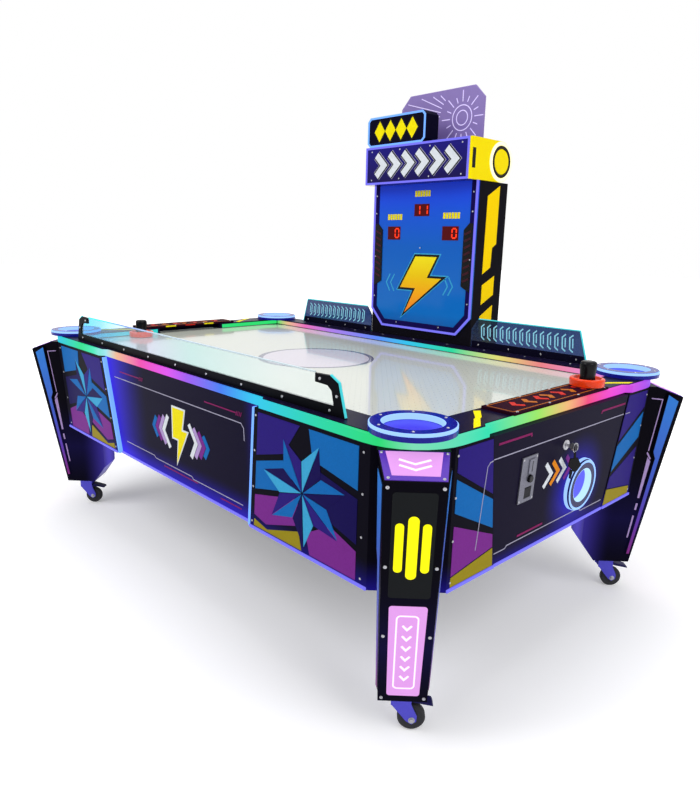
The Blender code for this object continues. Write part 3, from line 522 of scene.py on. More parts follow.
class Look(Enum):
    """The finishes of this table, each by what it is made of."""

    # Melamine-faced board: black, faintly satin, with a fine pebble; the light of the lamps below is painted
    # on its low edges as glow.
    BLACK_BOARD = GlowFinish(
        "black_melamine_board", "#0c0a16", "black_laminate", 0.35, specular=0.012, fleck_mm=3, mottle=0.3,
        strength=0.8, glows=(Glow((0, 0, LOW_LAMPS_Z), (0, 0, 1), 0.10, "#1c1490"),),
    )
    # Gloss board of the legs, with painted lamp light: a dim glow about their lower part, and the light of
    # the lamps behind each corner on the faces near it.
    LEG_BOARD = GlowFinish(
        "black_gloss_board", "#0b0912", "black_laminate", 0.22, specular=0.015, fleck_mm=3, mottle=0.3,
        strength=0.8,
        glows=(
            Glow((0, 0, 0.30), (0, 0, 1), 0.25, "#0c0838"),
            *(Glow(place, (1, 1, 0), 0.16, "#6a58ff") for place in LEG_LAMPS),
        ),
    )
    TOWER_BOARD = SurfaceFinish(
        "black_tower_board", "#131118", "black_laminate", 0.35, specular=0.012, mottle=0.3
    )
    RAIL_BOARD = SurfaceFinish(
        "dark_violet_rail_board", "#130e2a", "black_laminate", 0.3, specular=0.03, mottle=0.2
    )
    # Printed vinyl over board: satin laminate, with the print's faint unevenness.
    # The long sides' navy vinyl, with painted blue light from the recess lamps at both ends and from the
    # lamps below.
    SIDE_PRINT = GlowFinish(
        "navy_side_vinyl", "#141028", "black_laminate", 0.35, specular=0.012, mottle=0.15, strength=1.0,
        glows=(
            Glow((-0.53, 0, 0), (1, 0, 0), 0.34, "#4030ff"),
            Glow((0.53, 0, 0), (1, 0, 0), 0.10, "#2a20a8"),
            Glow((0, 0, LOW_LAMPS_Z), (0, 0, 1), 0.11, "#2f22d0"),
        ),
    )
    # The doors' navy vinyl, with painted blue light round each lit puck return and from the lamps below.
    DOOR_PRINT = GlowFinish(
        "navy_door_vinyl", "#161228", "black_laminate", 0.35, specular=0.012, mottle=0.15, strength=1.0,
        glows=(
            Glow((1.118, 0.060, 0.540), (1, 1, 1), 0.19, "#4038ff"),
            Glow((-1.118, -0.145, 0.540), (1, 1, 1), 0.19, "#4038ff"),
            Glow((0, 0, LOW_LAMPS_Z), (0, 0, 1), 0.06, "#1c1490"),
        ),
    )
    NAVY_PRINT = SurfaceFinish("navy_printed_vinyl", "#0e0c20", "black_laminate", 0.35, specular=0.012)
    INDIGO_PRINT = printed("indigo_printed_vinyl", "#2b1c78")
    INDIGO_DARK = printed("dark_indigo_printed_vinyl", "#160d4e")
    BLUE_PRINT = printed("blue_printed_vinyl", "#1569b4")
    CYAN_PRINT = printed("cyan_printed_vinyl", "#3fa6d4")
    MAGENTA_PRINT = printed("magenta_printed_vinyl", "#7a2c8c")
    OLIVE_PRINT = printed("olive_printed_vinyl", "#9a8a1c")
    LINE_WHITE = printed("white_printed_line", "#a9a6bc")
    LINE_LILAC = printed("lilac_printed_line", "#b49ad0")
    LINE_MAGENTA = printed("magenta_printed_line", "#86205c")
    YELLOW_PRINT = printed("yellow_printed_vinyl", "#fbe510", "yellow_plastic")
    WHITE_PRINT = printed("white_printed_vinyl", "#dfe4ea")
    ORANGE_PRINT = printed("orange_printed_vinyl", "#e88a1a", "yellow_plastic")
    RED_PRINT = SurfaceFinish("dark_red_printed_plate", "#2a0a1c", "red_plate", 0.5, specular=0.006)
    RED_BLOCK = printed("red_printed_vinyl", "#c8281e", "red_plate")
    GOLD_PRINT = printed("gold_printed_line", "#b8641a", "red_plate")
    # Polished white laminate over a drilled board.
    FIELD = FieldFinish("white_polished_laminate", "#cdd0cb", "white_laminate", 0.14, coat=0.38, mottle=0.02)
    # Gloss moulded acrylic and plastic, dyed through.
    RING_BLUE = SurfaceFinish(
        "deep_blue_gloss_acrylic", "#11117a", "blue_ring", 0.15, specular=0.12, strength=0.10, glow="#2020d0"
    )
    RETURN_BLUE = SurfaceFinish(
        "navy_gloss_acrylic", "#0a0c40", "blue_ring", 0.2, specular=0.12, strength=0.06, glow="#2020d0"
    )
    YELLOW_GLOSS = SurfaceFinish(
        "yellow_gloss_acrylic", "#fbe000", "yellow_plastic", 0.25, specular=0.05,
        glow="#ffd800", strength=0.10,
    )
    # Golden vinyl of the tower's flank stripes, with a faint painted glow.
    GOLD_GLOSS = SurfaceFinish(
        "golden_gloss_vinyl", "#fbd200", "yellow_plastic", 0.3, specular=0.03, glow="#ffc800", strength=0.15
    )
    ORANGE_GLOSS = SurfaceFinish("orange_gloss_abs", "#ee3f12", "orange_plastic", 0.3, coat=0.2)
    BLACK_GLOSS = SurfaceFinish("black_gloss_abs", "#0a0a0e", "black_plastic", 0.25, specular=0.12)
    BLACK_MATT = SurfaceFinish("black_matt_nylon", "#121218", "black_plastic", 0.55)
    VIOLET_NYLON = SurfaceFinish("violet_lit_nylon", "#140f4c", "black_plastic", 0.5)
    RIB_RED = SurfaceFinish("dark_red_ribs", "#3a0e1e", "black_plastic", 0.4)
    BLACK_RUBBER = SurfaceFinish("black_rubber", "#111118", "black_rubber", 0.6, fleck_mm=2, relief_mm=0.1)
    BLACK_STEEL = SurfaceFinish(
        "black_powder_coat", "#0a0a10", "guard_black", 0.4, specular=0.02, fleck_mm=1.5, relief_mm=0.05
    )
    GREY_ABS = SurfaceFinish("grey_abs", "#6a6a70", "grey_plastic", 0.5)
    GREY_GLASS = SurfaceFinish("smoked_glass", "#1e2022", "black_plastic", 0.15, specular=0.02, mottle=0.05)
    # Zinc-plated pressed steel, whose violet-blue colour is painted reflection of the lamps, and stainless
    # screws: bright, with fine rub marks.
    ZINC = SurfaceFinish(
        "zinc_plated_steel", "#5450c4", "plated_steel", 0.35, metallic=0.7, fleck_mm=2, mottle=0.2
    )
    SATIN_STEEL = SurfaceFinish(
        "satin_steel", "#a9a9ae", "plated_steel", 0.35, metallic=1.0, fleck_mm=1.5, mottle=0.25
    )
    COIN_STEEL = SurfaceFinish(
        "brushed_coin_steel", "#6c6c78", "plated_steel", 0.45, metallic=0.8, fleck_mm=4, mottle=0.5
    )
    # Lit diffusers: frosted acrylic with lamps behind, so each is dark under its own light.
    LED_BLUE = lit("blue_lit_diffuser", "#345ea8", "#78acff", 0.95)
    LED_VIOLET = lit("violet_lit_diffuser", "#26247c", "#7c78f4", 0.9)
    LED_ICE = lit("ice_lit_diffuser", "#3a62b0", "#a6ceff", 0.95)
    LED_FROST = lit("frost_lit_diffuser", "#406aa0", "#c4ecff", 0.95)
    LED_PERIWINKLE = lit("periwinkle_lit_diffuser", "#2c2c90", "#6c70f4", 0.9)
    LED_CYAN = lit("cyan_lit_edge", "#2f8a90", "#48d4dc", 0.7)
    LED_GLYPH = lit("pale_lit_print", "#6fa8b8", "#8fd0e4", 0.45)
    LED_PINK = lit("pink_lit_diffuser", "#7c4c86", "#ecaaf2", 0.76)
    LED_WHITE = lit("white_lit_diffuser", "#b8b0c4", "#fff0ff", 0.75)
    LED_CREAM = lit("cream_lit_diffuser", "#d8d0a0", "#fffbd0", 0.85)
    LED_YELLOW = lit("yellow_lit_diffuser", "#908c00", "#fff800", 0.95)
    LED_RED = SurfaceFinish("red_lit_segment", "#a01808", "red_button", 0.4, glow="#ff3812", strength=1.1)
    LED_RED_OFF = SurfaceFinish(
        "dark_red_window", "#300306", "red_button", 0.2, specular=0.08, glow="#600408", strength=0.5
    )
    CUP_FLOOR = SurfaceFinish("violet_lit_floor", "#2a20a0", "blue_ring", 0.3, glow="#3a2ad8", strength=0.6)
    PURPLE_FRAME = SurfaceFinish(
        "purple_lit_frame", "#4a2a96", "light_diffuser", 0.35, glow="#5a30b0", strength=0.3
    )
    LILAC_DRAWN = SurfaceFinish(
        "lilac_engraved_line", "#cfc2ea", "violet_acrylic", 0.4, glow="#e0d4ff", strength=0.35
    )
    # Clear cast acrylic: one sheet whose tint is painted light from its lit end, one smoked blue, one violet.
    CLEAR = ClearFinish(
        "clear_acrylic_sheet", "#f6fcfd", "clear_acrylic", 0.03, ior=1.3, relief_mm=0.002,
        direction=(1, 0, 0), span=(-0.76, 0.60),
        stops=(
            (-0.76, "#48c8f0"), (-0.62, "#78c8f4"), (-0.44, "#c4e6fa"), (-0.20, "#e4e6fc"), (0.10, "#d4f4f4"),
            (0.60, "#f6fcfd"),
        ),
    )
    SMOKED = ClearFinish(
        "smoked_blue_acrylic_sheet", "#2c4070", "clear_acrylic", 0.05, ior=1.4,
        clearness=0.75, relief_mm=0.002,
    )
    VIOLET = ClearFinish(
        "violet_acrylic_sheet", "#9583bd", "violet_acrylic", 0.15, specular=0.1, ior=1.4, clearness=0.2,
        glow="#6a50a8", strength=0.12,
    )
    # Diffusers and backed prints whose colour runs from one end to the other.
    FIELD_LIGHT = rainbow(
        "colour_lit_strip",
        (
            (-0.97, "#20c8e0"), (-0.72, "#18e088"), (-0.60, "#40e8b8"), (-0.50, "#a0e8f0"),
            (-0.40, "#f0b890"), (-0.20, "#f048b0"), (0.00, "#e050f0"), (0.14, "#9a58f0"),
            (0.34, "#3f7cf4"), (0.52, "#28c8f0"), (0.80, "#1ed6a8"), (1.02, "#22dc74"),
            (1.13, "#7fe0b8"), (1.40, "#20e0b0"), (1.64, "#9be860"), (1.80, "#f4b878"),
            (1.92, "#f44880"), (2.08, "#f044d8"), (2.35, "#9a4cf0"),
        ),
        1.0,
    )
    FIELD_WALL = rainbow(
        "colour_lit_wall",
        (
            (-0.90, "#30d0e4"), (-0.50, "#30d8d0"), (-0.12, "#28e478"), (0.23, "#30e870"), (0.33, "#f0c090"),
            (0.48, "#f070c0"), (0.70, "#b080f0"), (1.03, "#5c8cff"), (1.23, "#30c8f4"), (1.50, "#24e0a0"),
            (1.73, "#e4e078"), (1.93, "#f08488"), (2.18, "#f090e0"),
        ),
        0.95,
    )
    GUARD_EDGE = RampFinish(
        "fading_lit_edge", "#c8d4dc", "light_diffuser", 0.4, strength=0.6,
        direction=(1, 0, 0), span=(-0.75, 0.75),
        stops=(
            (-0.75, "#20f0d4"), (-0.58, "#48ccf4"), (-0.42, "#6a8ce0"), (-0.15, "#9fb0bc"), (0.75, "#a8b4b8"),
        ),
    )
    FACE_PRINT = RampFinish(
        "blue_backed_acrylic", "#0f5fd0", "blue_face", 0.1, specular=0.1, strength=0.2,
        span=(0.86, 1.53),
        stops=((0.86, "#0c4a92"), (0.95, "#0f64b4"), (1.25, "#0c58b4"), (1.40, "#1450cc"), (1.53, "#1a3ce0")),
    )
    HEADER_PRINT = RampFinish(
        "indigo_backed_acrylic", "#1c1480", "indigo_print", 0.15, specular=0.1, strength=0.2,
        span=(1.52, 1.70), stops=((1.52, "#110640"), (1.70, "#151074")),
    )
    LEG_STRIPE = RampFinish(
        "fading_stripe_print", "#2f7fd8", "indigo_print", 0.3, specular=0.1, strength=0.12,
        span=(0.12, 0.76), stops=((0.12, "#861e66"), (0.30, "#5a34a8"), (0.45, "#3c52ba"), (0.76, "#2c74c8")),
    )
    EMBLEM = RampFinish(
        "fading_emblem_print", "#f0c020", "yellow_plastic", 0.3, specular=0.08, strength=0.12,
        span=(0.94, 1.22), stops=((0.94, "#f07828"), (1.03, "#f0a018"), (1.12, "#e8c010"), (1.22, "#f0e020")),
    )


class Shells:
    """Closed shells of one finish, gathered into one piece."""

    def __init__(self) -> None:
        """Start with no shells."""
        self.points: list[np.ndarray] = []
        self.faces: list[list[int]] = []
        self.total = 0

    def grid(self, points: np.ndarray, wrapped: bool = False) -> None:
        """Join rows of closed loops by quads, and cap the end rows unless the rows wrap.

        Args:
            points: Rows x columns x 3.
            wrapped: Whether the last row joins the first.
        """
        rows, columns, _ = points.shape
        index = np.arange(rows * columns).reshape(rows, columns) + self.total
        lower = index if wrapped else index[:-1]
        upper = np.roll(index, -1, 0) if wrapped else index[1:]
        quads = np.stack((lower, np.roll(lower, -1, 1), np.roll(upper, -1, 1), upper), -1)
        self.faces += quads.reshape(-1, 4).tolist()
        if not wrapped:
            self.faces += [index[0][::-1].tolist(), index[-1].tolist()]
        self.points.append(points.reshape(-1, 3))
        self.total += rows * columns

    def plate(self, face: Face, outline: np.ndarray, low: float, high: float, edge: float = 0.0004) -> None:
        """Raise an outline from low to high, with its top edge broken by a small chamfer.

        Args:
            face: The face that it lies on.
            outline: Corners (u, v).
            low, high: Heights over the face.
            edge: The chamfer's size.
        """
        outline = anticlockwise(np.asarray(outline, float))
        inner = outline + edge * miters(outline, True)
        rows = [face.place(outline, low), face.place(outline, high - edge), face.place(inner, high)]
        self.grid(np.stack(rows))

    def line(
        self, face: Face, path: np.ndarray, width: float, low: float, high: float, closed: bool = False
    ) -> None:
        """Carry a rectangle of that width, from low to high, along a path on a face.

        Args:
            face: The face that it lies on.
            path: Points (u, v) that the line's middle follows.
            width: The line's width.
            low, high: Heights over the face.
            closed: Whether the path joins its ends.
        """
        path = np.asarray(path, float)
        side = miters(path, closed) * width / 2
        corners = ((path + side, low), (path - side, low), (path - side, high), (path + side, high))
        self.grid(np.stack([face.place(flat, depth) for flat, depth in corners], 1), wrapped=closed)

    def turned(self, face: Face, centre: Pair, profile: np.ndarray, steps: int = 48) -> None:
        """Turn a closed loop of (radius, height) about the way out of a face.

        Args:
            face: The face that it stands on.
            centre: The axis, as a flat point.
            profile: The loop's points.
            steps: Points round the turn.
        """
        profile = np.asarray(profile, float)
        circle = disc((0.0, 0.0), 1.0, steps)
        flat = vec(*centre) + circle[:, None, :] * profile[None, :, :1]
        depth = np.broadcast_to(profile[None, :, 1], flat.shape[:-1])
        self.grid(face.place(flat, depth), wrapped=True)

    def screw(self, face: Face, spots: np.ndarray, radius: float = 0.0042, depth: float = 0.0) -> None:
        """Set low domed screw heads with a dished middle at flat points."""
        dome = ((0.15, 0.3), (0.55, 0.42), (0.9, 0.3), (1.0, 0.0), (0.15, 0.0))
        profile = np.array(dome) * radius + vec(0, depth)
        for spot in np.asarray(spots, float).reshape(-1, 2):
            self.turned(face, tuple(spot), profile, 10)

    def piece(self, name: str, look: Look, body: str = "table", smooth: float = 0.5) -> bpy.types.Object:
        """Make the piece's mesh and object, and let it ride on a body.

        Args:
            name: The piece's name.
            look: Its finish.
            body: The CAD body that carries it.
            smooth: Edges sharper than this many radians stay sharp.

        Returns:
            The new object.
        """
        mesh = bpy.data.meshes.new(name)
        mesh.from_pydata(np.concatenate(self.points).tolist(), [], self.faces)
        shape = bmesh.new()
        shape.from_mesh(mesh)
        bmesh.ops.remove_doubles(shape, verts=shape.verts, dist=1e-7)
        bmesh.ops.recalc_face_normals(shape, faces=shape.faces)
        shape.to_mesh(mesh)
        shape.free()
        mesh.shade_smooth()
        mesh.set_sharp_from_angle(angle=smooth)
        mesh.materials.append(look.value.build())
        piece = bpy.data.objects.new(name, mesh)
        bpy.context.scene.collection.objects.link(piece)
        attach(piece, body)
        LOG.info("%s: %d faces on %s", name, len(mesh.polygons), body)
        return piece


class Kit:
    """One sub-assembly's shells, gathered by name, finish and body."""

    def __init__(self, name: str) -> None:
        """Start with no shells.

        Args:
            name: The first word of its pieces' names.
        """
        self.name = name
        self.shells: dict[tuple[str, Look, str], Shells] = {}

    def of(self, part: str, look: Look, body: str = "table") -> Shells:
        """Give the shells of one part, finish and body, made on first use."""
        return self.shells.setdefault((part, look, body), Shells())

    def finish(self) -> None:
        """Make a piece of every set of shells."""
        for (part, look, body), shells in self.shells.items():
            shells.piece(f"{self.name}_{part}", look, body)


def dress(look: Look, *nodes: str) -> None:
    """Give CAD nodes a finish in place of their plain material."""
    for node in nodes:
        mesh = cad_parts[node].data
        mesh.materials.clear()
        mesh.materials.append(look.value.build())
        LOG.info("%s: %s", node, look.value.name)


class Side(Enum):
    """The cabinet's sides, by the way out of each."""

    NEAR = (0, -1)
    FAR = (0, 1)
    RIGHT = (1, 0)
    LEFT = (-1, 0)

    @property
    def long(self) -> bool:
        """Whether this is one of the two long sides."""
        return self.value[0] == 0


def cabinet_face(side: Side, recess: float = 0.0) -> Face:
    """Give a side's leaning outer face, from its lower edge, set back by the recess."""
    out = vec(*side.value, 0)
    half = Place.half_y if side.long else Place.half_x
    foot = Place.centre + out * (half - recess - Place.lean) + Z_AXIS * Place.panel_z
    up = unit(out * Place.lean + Z_AXIS * (Place.top_z - Place.panel_z))
    return Face(foot, np.cross(Z_AXIS, out), up)


def level_face(height: float) -> Face:
    """Give a level face at a height, centred on the table, with x across and y up."""
    return Face(Place.centre + Z_AXIS * height, vec(1, 0, 0), vec(0, 1, 0))


def front_face(node: str) -> Face:
    """Give the upright face on a node's near side, with x across and height up."""
    return Face(vec(0, low_corner(node)[1], 0), vec(1, 0, 0), Z_AXIS)


def back_face(node: str) -> Face:
    """Give the upright face on a node's far side, with -x across and height up."""
    return Face(vec(0, high_corner(node)[1], 0), vec(-1, 0, 0), Z_AXIS)


def foot_face(node: str) -> Face:
    """Give the level face under a node, about its middle, with x across and y up."""
    low, high = corners_of(node)
    middle = (low + high) / 2
    return Face(vec(middle[0], middle[1], low[2]), vec(1, 0, 0), vec(0, 1, 0))


@dataclass
class Cabinet:
    """Corner panels with their printed blocks, side panels and the light strips round them."""

    recess_low: Pair = (0.466, 0.313)
    recess_top: Pair = (0.524, 0.382)
    print_high: float = 0.0010
    screw_rows: tuple[float, ...] = (0.06, 0.36, 0.66, 0.94)
    screw_radius: float = 0.0036
    outline_width: float = 0.0025
    line_width: float = 0.003
    hatch_width: float = 0.004
    hatch_ticks: int = 4
    tick_step: float = 0.008
    strip_width: float = 0.012
    strip_high: float = 0.0145
    edge_width: float = 0.008
    edge_high: float = 0.004
    burst_points: int = 14
    burst_long: float = 0.42
    burst_short: float = 0.24
    burst_middle: Pair = (0.48, 0.48)
    burst_squash: float = 0.88
    burst_turn: float = 0.3
    facet_gap: float = 0.0012
    bolt_at: Pair = (0.035, 0.185)
    bolt_width: float = 0.33

    def build(self) -> None:
        """Dress the cabinet's nodes and add its prints and lights."""
        dress(Look.TOWER_BOARD, "cabinet_floor")
        dress(Look.BLACK_BOARD, *(f"corner_block_{name}" for name in CORNERS))
        dress(Look.SIDE_PRINT, "side_panel_near", "side_panel_far")
        kit = Kit("cabinet")
        for side in Side:
            for hand in (-1, 1):
                self.corner_panel(kit, side, hand)
            self.lower_edges(kit, side)
        for side in (Side.NEAR, Side.FAR):
            self.side_lights(kit, side)
            self.side_print(kit, side)
        kit.finish()

    def quad(self, side: Side, hand: int, flat: np.ndarray) -> np.ndarray:
        """Map shares (s from the recess to the leg, t up) to a corner panel's flat points.

        Args:
            side: The cabinet's side.
            hand: Which of its two corner panels, -1 or 1.
            flat: Shares (s, t).

        Returns:
            Flat points on the side's face: u blends the two slanting edges by s and t.
        """
        which = 0 if side.long else 1
        half = Place.half_x if side.long else Place.half_y
        s, t = np.asarray(flat, float).T
        inner = self.recess_low[which] + (self.recess_top[which] - self.recess_low[which]) * t
        outer = half - Place.corner_cut - Place.lean * (1 - t)
        return np.stack((hand * (inner + (outer - inner) * s), t * Place.slope), -1)

    def corner_panel(self, kit: Kit, side: Side, hand: int) -> None:
        """Lay colour blocks and screws on one corner panel, and a thin outline at the right end."""
        face = cabinet_face(side)
        if side.long:
            blocks = {
                Look.INDIGO_PRINT: [((0.04, 0.97), (0.44, 0.97), (0.30, 0.72), (0.04, 0.63))],
                Look.BLUE_PRINT: [
                    ((0.52, 0.97), (0.92, 0.97), (0.92, 0.67), (0.56, 0.76)),
                    ((0.04, 0.58), (0.30, 0.67), (0.44, 0.47), (0.04, 0.35)),
                ],
                Look.MAGENTA_PRINT: [
                    ((0.04, 0.30), (0.44, 0.42), (0.47, 0.22), (0.16, 0.09), (0.04, 0.13)),
                    ((0.92, 0.24), (0.72, 0.33), (0.52, 0.19), (0.56, 0.03), (0.92, 0.03)),
                ],
                Look.OLIVE_PRINT: [((0.04, 0.09), (0.04, 0.03), (0.49, 0.03), (0.46, 0.17), (0.17, 0.05))],
                Look.INDIGO_DARK: [((0.92, 0.61), (0.60, 0.70), (0.66, 0.38), (0.92, 0.29))],
            }
            self.burst(kit, side, hand)
        else:
            upper = ((0.02, 0.98), (0.93, 0.98), (0.93, 0.83), (0.02, 0.585))
            lower = ((0.02, 0.275), (0.93, 0.465), (0.93, 0.105), (0.02, 0.175))
            blocks = {
                Look.INDIGO_PRINT: [upper, lower] if hand > 0 else [upper],
                Look.BLUE_PRINT: [((0.02, 0.545), (0.93, 0.785), (0.93, 0.555), (0.02, 0.325))],
                Look.MAGENTA_PRINT: [] if hand > 0 else [lower],
                Look.OLIVE_PRINT: [((0.02, 0.165), (0.93, 0.095), (0.93, 0.025), (0.02, 0.025))],
            }
        for look, shapes in blocks.items():
            for shape in shapes:
                kit.of(look.value.name, look).plate(face, self.quad(side, hand, shape), 0.0, self.print_high)
        borders = (0.955, 0.018) if side.long else (0.930,)
        spots = self.quad(side, hand, [(s, t) for s in borders for t in self.screw_rows])
        kit.of("screws", Look.SATIN_STEEL).screw(face, spots, radius=self.screw_radius)
        if side is Side.RIGHT:
            outline = {
                -1: ((-0.373, 0.3235), (-0.387, 0.321), (-0.396, 0.311), (-0.409, 0.084)),
                1: ((0.373, 0.3235), (0.407, 0.3235)),
            }
            lines = kit.of("end_outline", Look.LINE_WHITE)
            lines.line(face, outline[hand], self.outline_width, self.print_high, 0.0016)

    def burst(self, kit: Kit, side: Side, hand: int) -> None:
        """Lay a star of facets in the middle of a long side's corner panel.

        Its rim alternates two radii, and each facet joins the middle with two rim points.
        """
        looks = (Look.BLUE_PRINT, Look.INDIGO_DARK, Look.CYAN_PRINT, Look.INDIGO_PRINT)
        angles = np.linspace(0, 2 * math.pi, self.burst_points, endpoint=False) + self.burst_turn
        radii = np.where(np.arange(self.burst_points) % 2, self.burst_short, self.burst_long)
        middle = vec(*self.burst_middle)
        rim = middle + radii[:, None] * np.stack((self.burst_squash * np.cos(angles), np.sin(angles)), -1)
        following = np.roll(rim, -1, 0)
        face = cabinet_face(side)
        for index in range(self.burst_points):
            facet = anticlockwise(self.quad(side, hand, (middle, rim[index], following[index])))
            look = looks[index % len(looks)]
            shrunk = facet + self.facet_gap * miters(facet, True)
            kit.of(look.value.name, look).plate(face, shrunk, 0.0, 1.5 * self.print_high)

    def lower_edges(self, kit: Kit, side: Side) -> None:
        """Run a lit strip along the lower edges of a side's fixed panels."""
        which = 0 if side.long else 1
        half = Place.half_x if side.long else Place.half_y
        reach = half - Place.lean - Place.corner_cut
        strips = kit.of("lower_strip", Look.LED_VIOLET)
        height = self.edge_width / 2
        for hand in (-1, 1):
            path = ((hand * self.recess_low[which], height), (hand * reach, height))
            strips.line(cabinet_face(side), path, self.edge_width, 0.0, self.edge_high)
        if side.long:
            inner = self.recess_low[0] - self.strip_width
            path = ((-inner, height), (inner, height))
            strips.line(cabinet_face(side, Place.recess), path, self.edge_width, 0.0, self.edge_high)

    def side_lights(self, kit: Kit, side: Side) -> None:
        """Stand a lit bar in each slanting end of a long side's recess."""
        face = cabinet_face(side, Place.recess)
        lights = kit.of("recess_light", Look.LED_BLUE)
        margin = self.strip_width / 2 + 0.002
        for hand in (-1, 1):
            low = (hand * (self.recess_low[0] - margin), 0.001)
            high = (hand * (self.recess_top[0] - margin), Place.slope - 0.003)
            lights.line(face, (low, high), self.strip_width, 0.0, self.strip_high)

    def side_print(self, kit: Kit, side: Side) -> None:
        """Print thin lines, hatching and a bolt between chevrons on a long side's middle panel."""
        face = cabinet_face(side, Place.recess)
        lines = kit.of("side_lines", Look.LINE_WHITE)
        upper = ((-0.455, 0.318), (0.425, 0.318), (0.438, 0.305), (0.438, 0.265))
        lower = ((-0.40, 0.062), (-0.17, 0.062), (-0.16, 0.054), (0.10, 0.054), (0.11, 0.046), (0.41, 0.046))
        for path in (upper, lower):
            lines.line(face, path, self.line_width, 0.0, LINE_HIGH)
        hatch = kit.of("side_hatch", Look.LINE_MAGENTA)
        for start, run in ((-0.40, 0.16), (0.22, 0.18)):
            hatch.line(face, ((start, 0.346), (start + run, 0.346)), self.hatch_width, 0.0, LINE_HIGH)
            for tick in range(self.hatch_ticks):
                at = start + run + self.tick_step * tick
                hatch.line(face, ((at, 0.338), (at + 0.007, 0.352)), self.line_width, 0.0, LINE_HIGH)
        for start, end, height in ((-0.10, 0.14, 0.040), (0.28, 0.40, 0.030)):
            hatch.line(face, ((start, height), (end, height)), self.hatch_width, 0.0, LINE_HIGH)
        if side is Side.NEAR:
            self.bolt_motif(kit, face.shifted(self.bolt_at))

    def bolt_motif(self, kit: Kit, face: Face) -> None:
        """Lay a bolt in yellow with a white rim, between chevrons that shrink outwards.

        Args:
            kit: The sub-assembly that gets it.
            face: A face with its origin at the motif's middle.
        """
        width = self.bolt_width
        corners = (
            (-0.10, 0.30), (0.14, 0.30), (0.06, 0.07), (0.17, 0.07),
            (-0.09, -0.32), (-0.02, -0.04), (-0.14, -0.04),
        )
        bolt = anticlockwise(np.array(corners) * width)
        rim = bolt - 0.020 * width * miters(bolt, True)
        kit.of("side_bolt_rim", Look.WHITE_PRINT).plate(face, rim, 0.0, BAR_HIGH)
        kit.of("side_bolt", Look.YELLOW_PRINT).plate(face, bolt, BAR_HIGH, 0.0013)
        arms = np.array(((0.0, 0.18), (0.12, 0.0), (0.0, -0.18)))
        looks = (Look.WHITE_PRINT, Look.LINE_LILAC, Look.MAGENTA_PRINT, Look.BLUE_PRINT)
        for hand in (-1, 1):
            for step, look in enumerate(looks):
                start = 0.22 + 0.09 * step
                path = (arms * (1 - 0.12 * step) + vec(start, 0.0)) * width * vec(hand, 1)
                kit.of(f"side_chevron_{step}", look).line(face, path, 0.055 * width, 0.0, PRINT_HIGH)


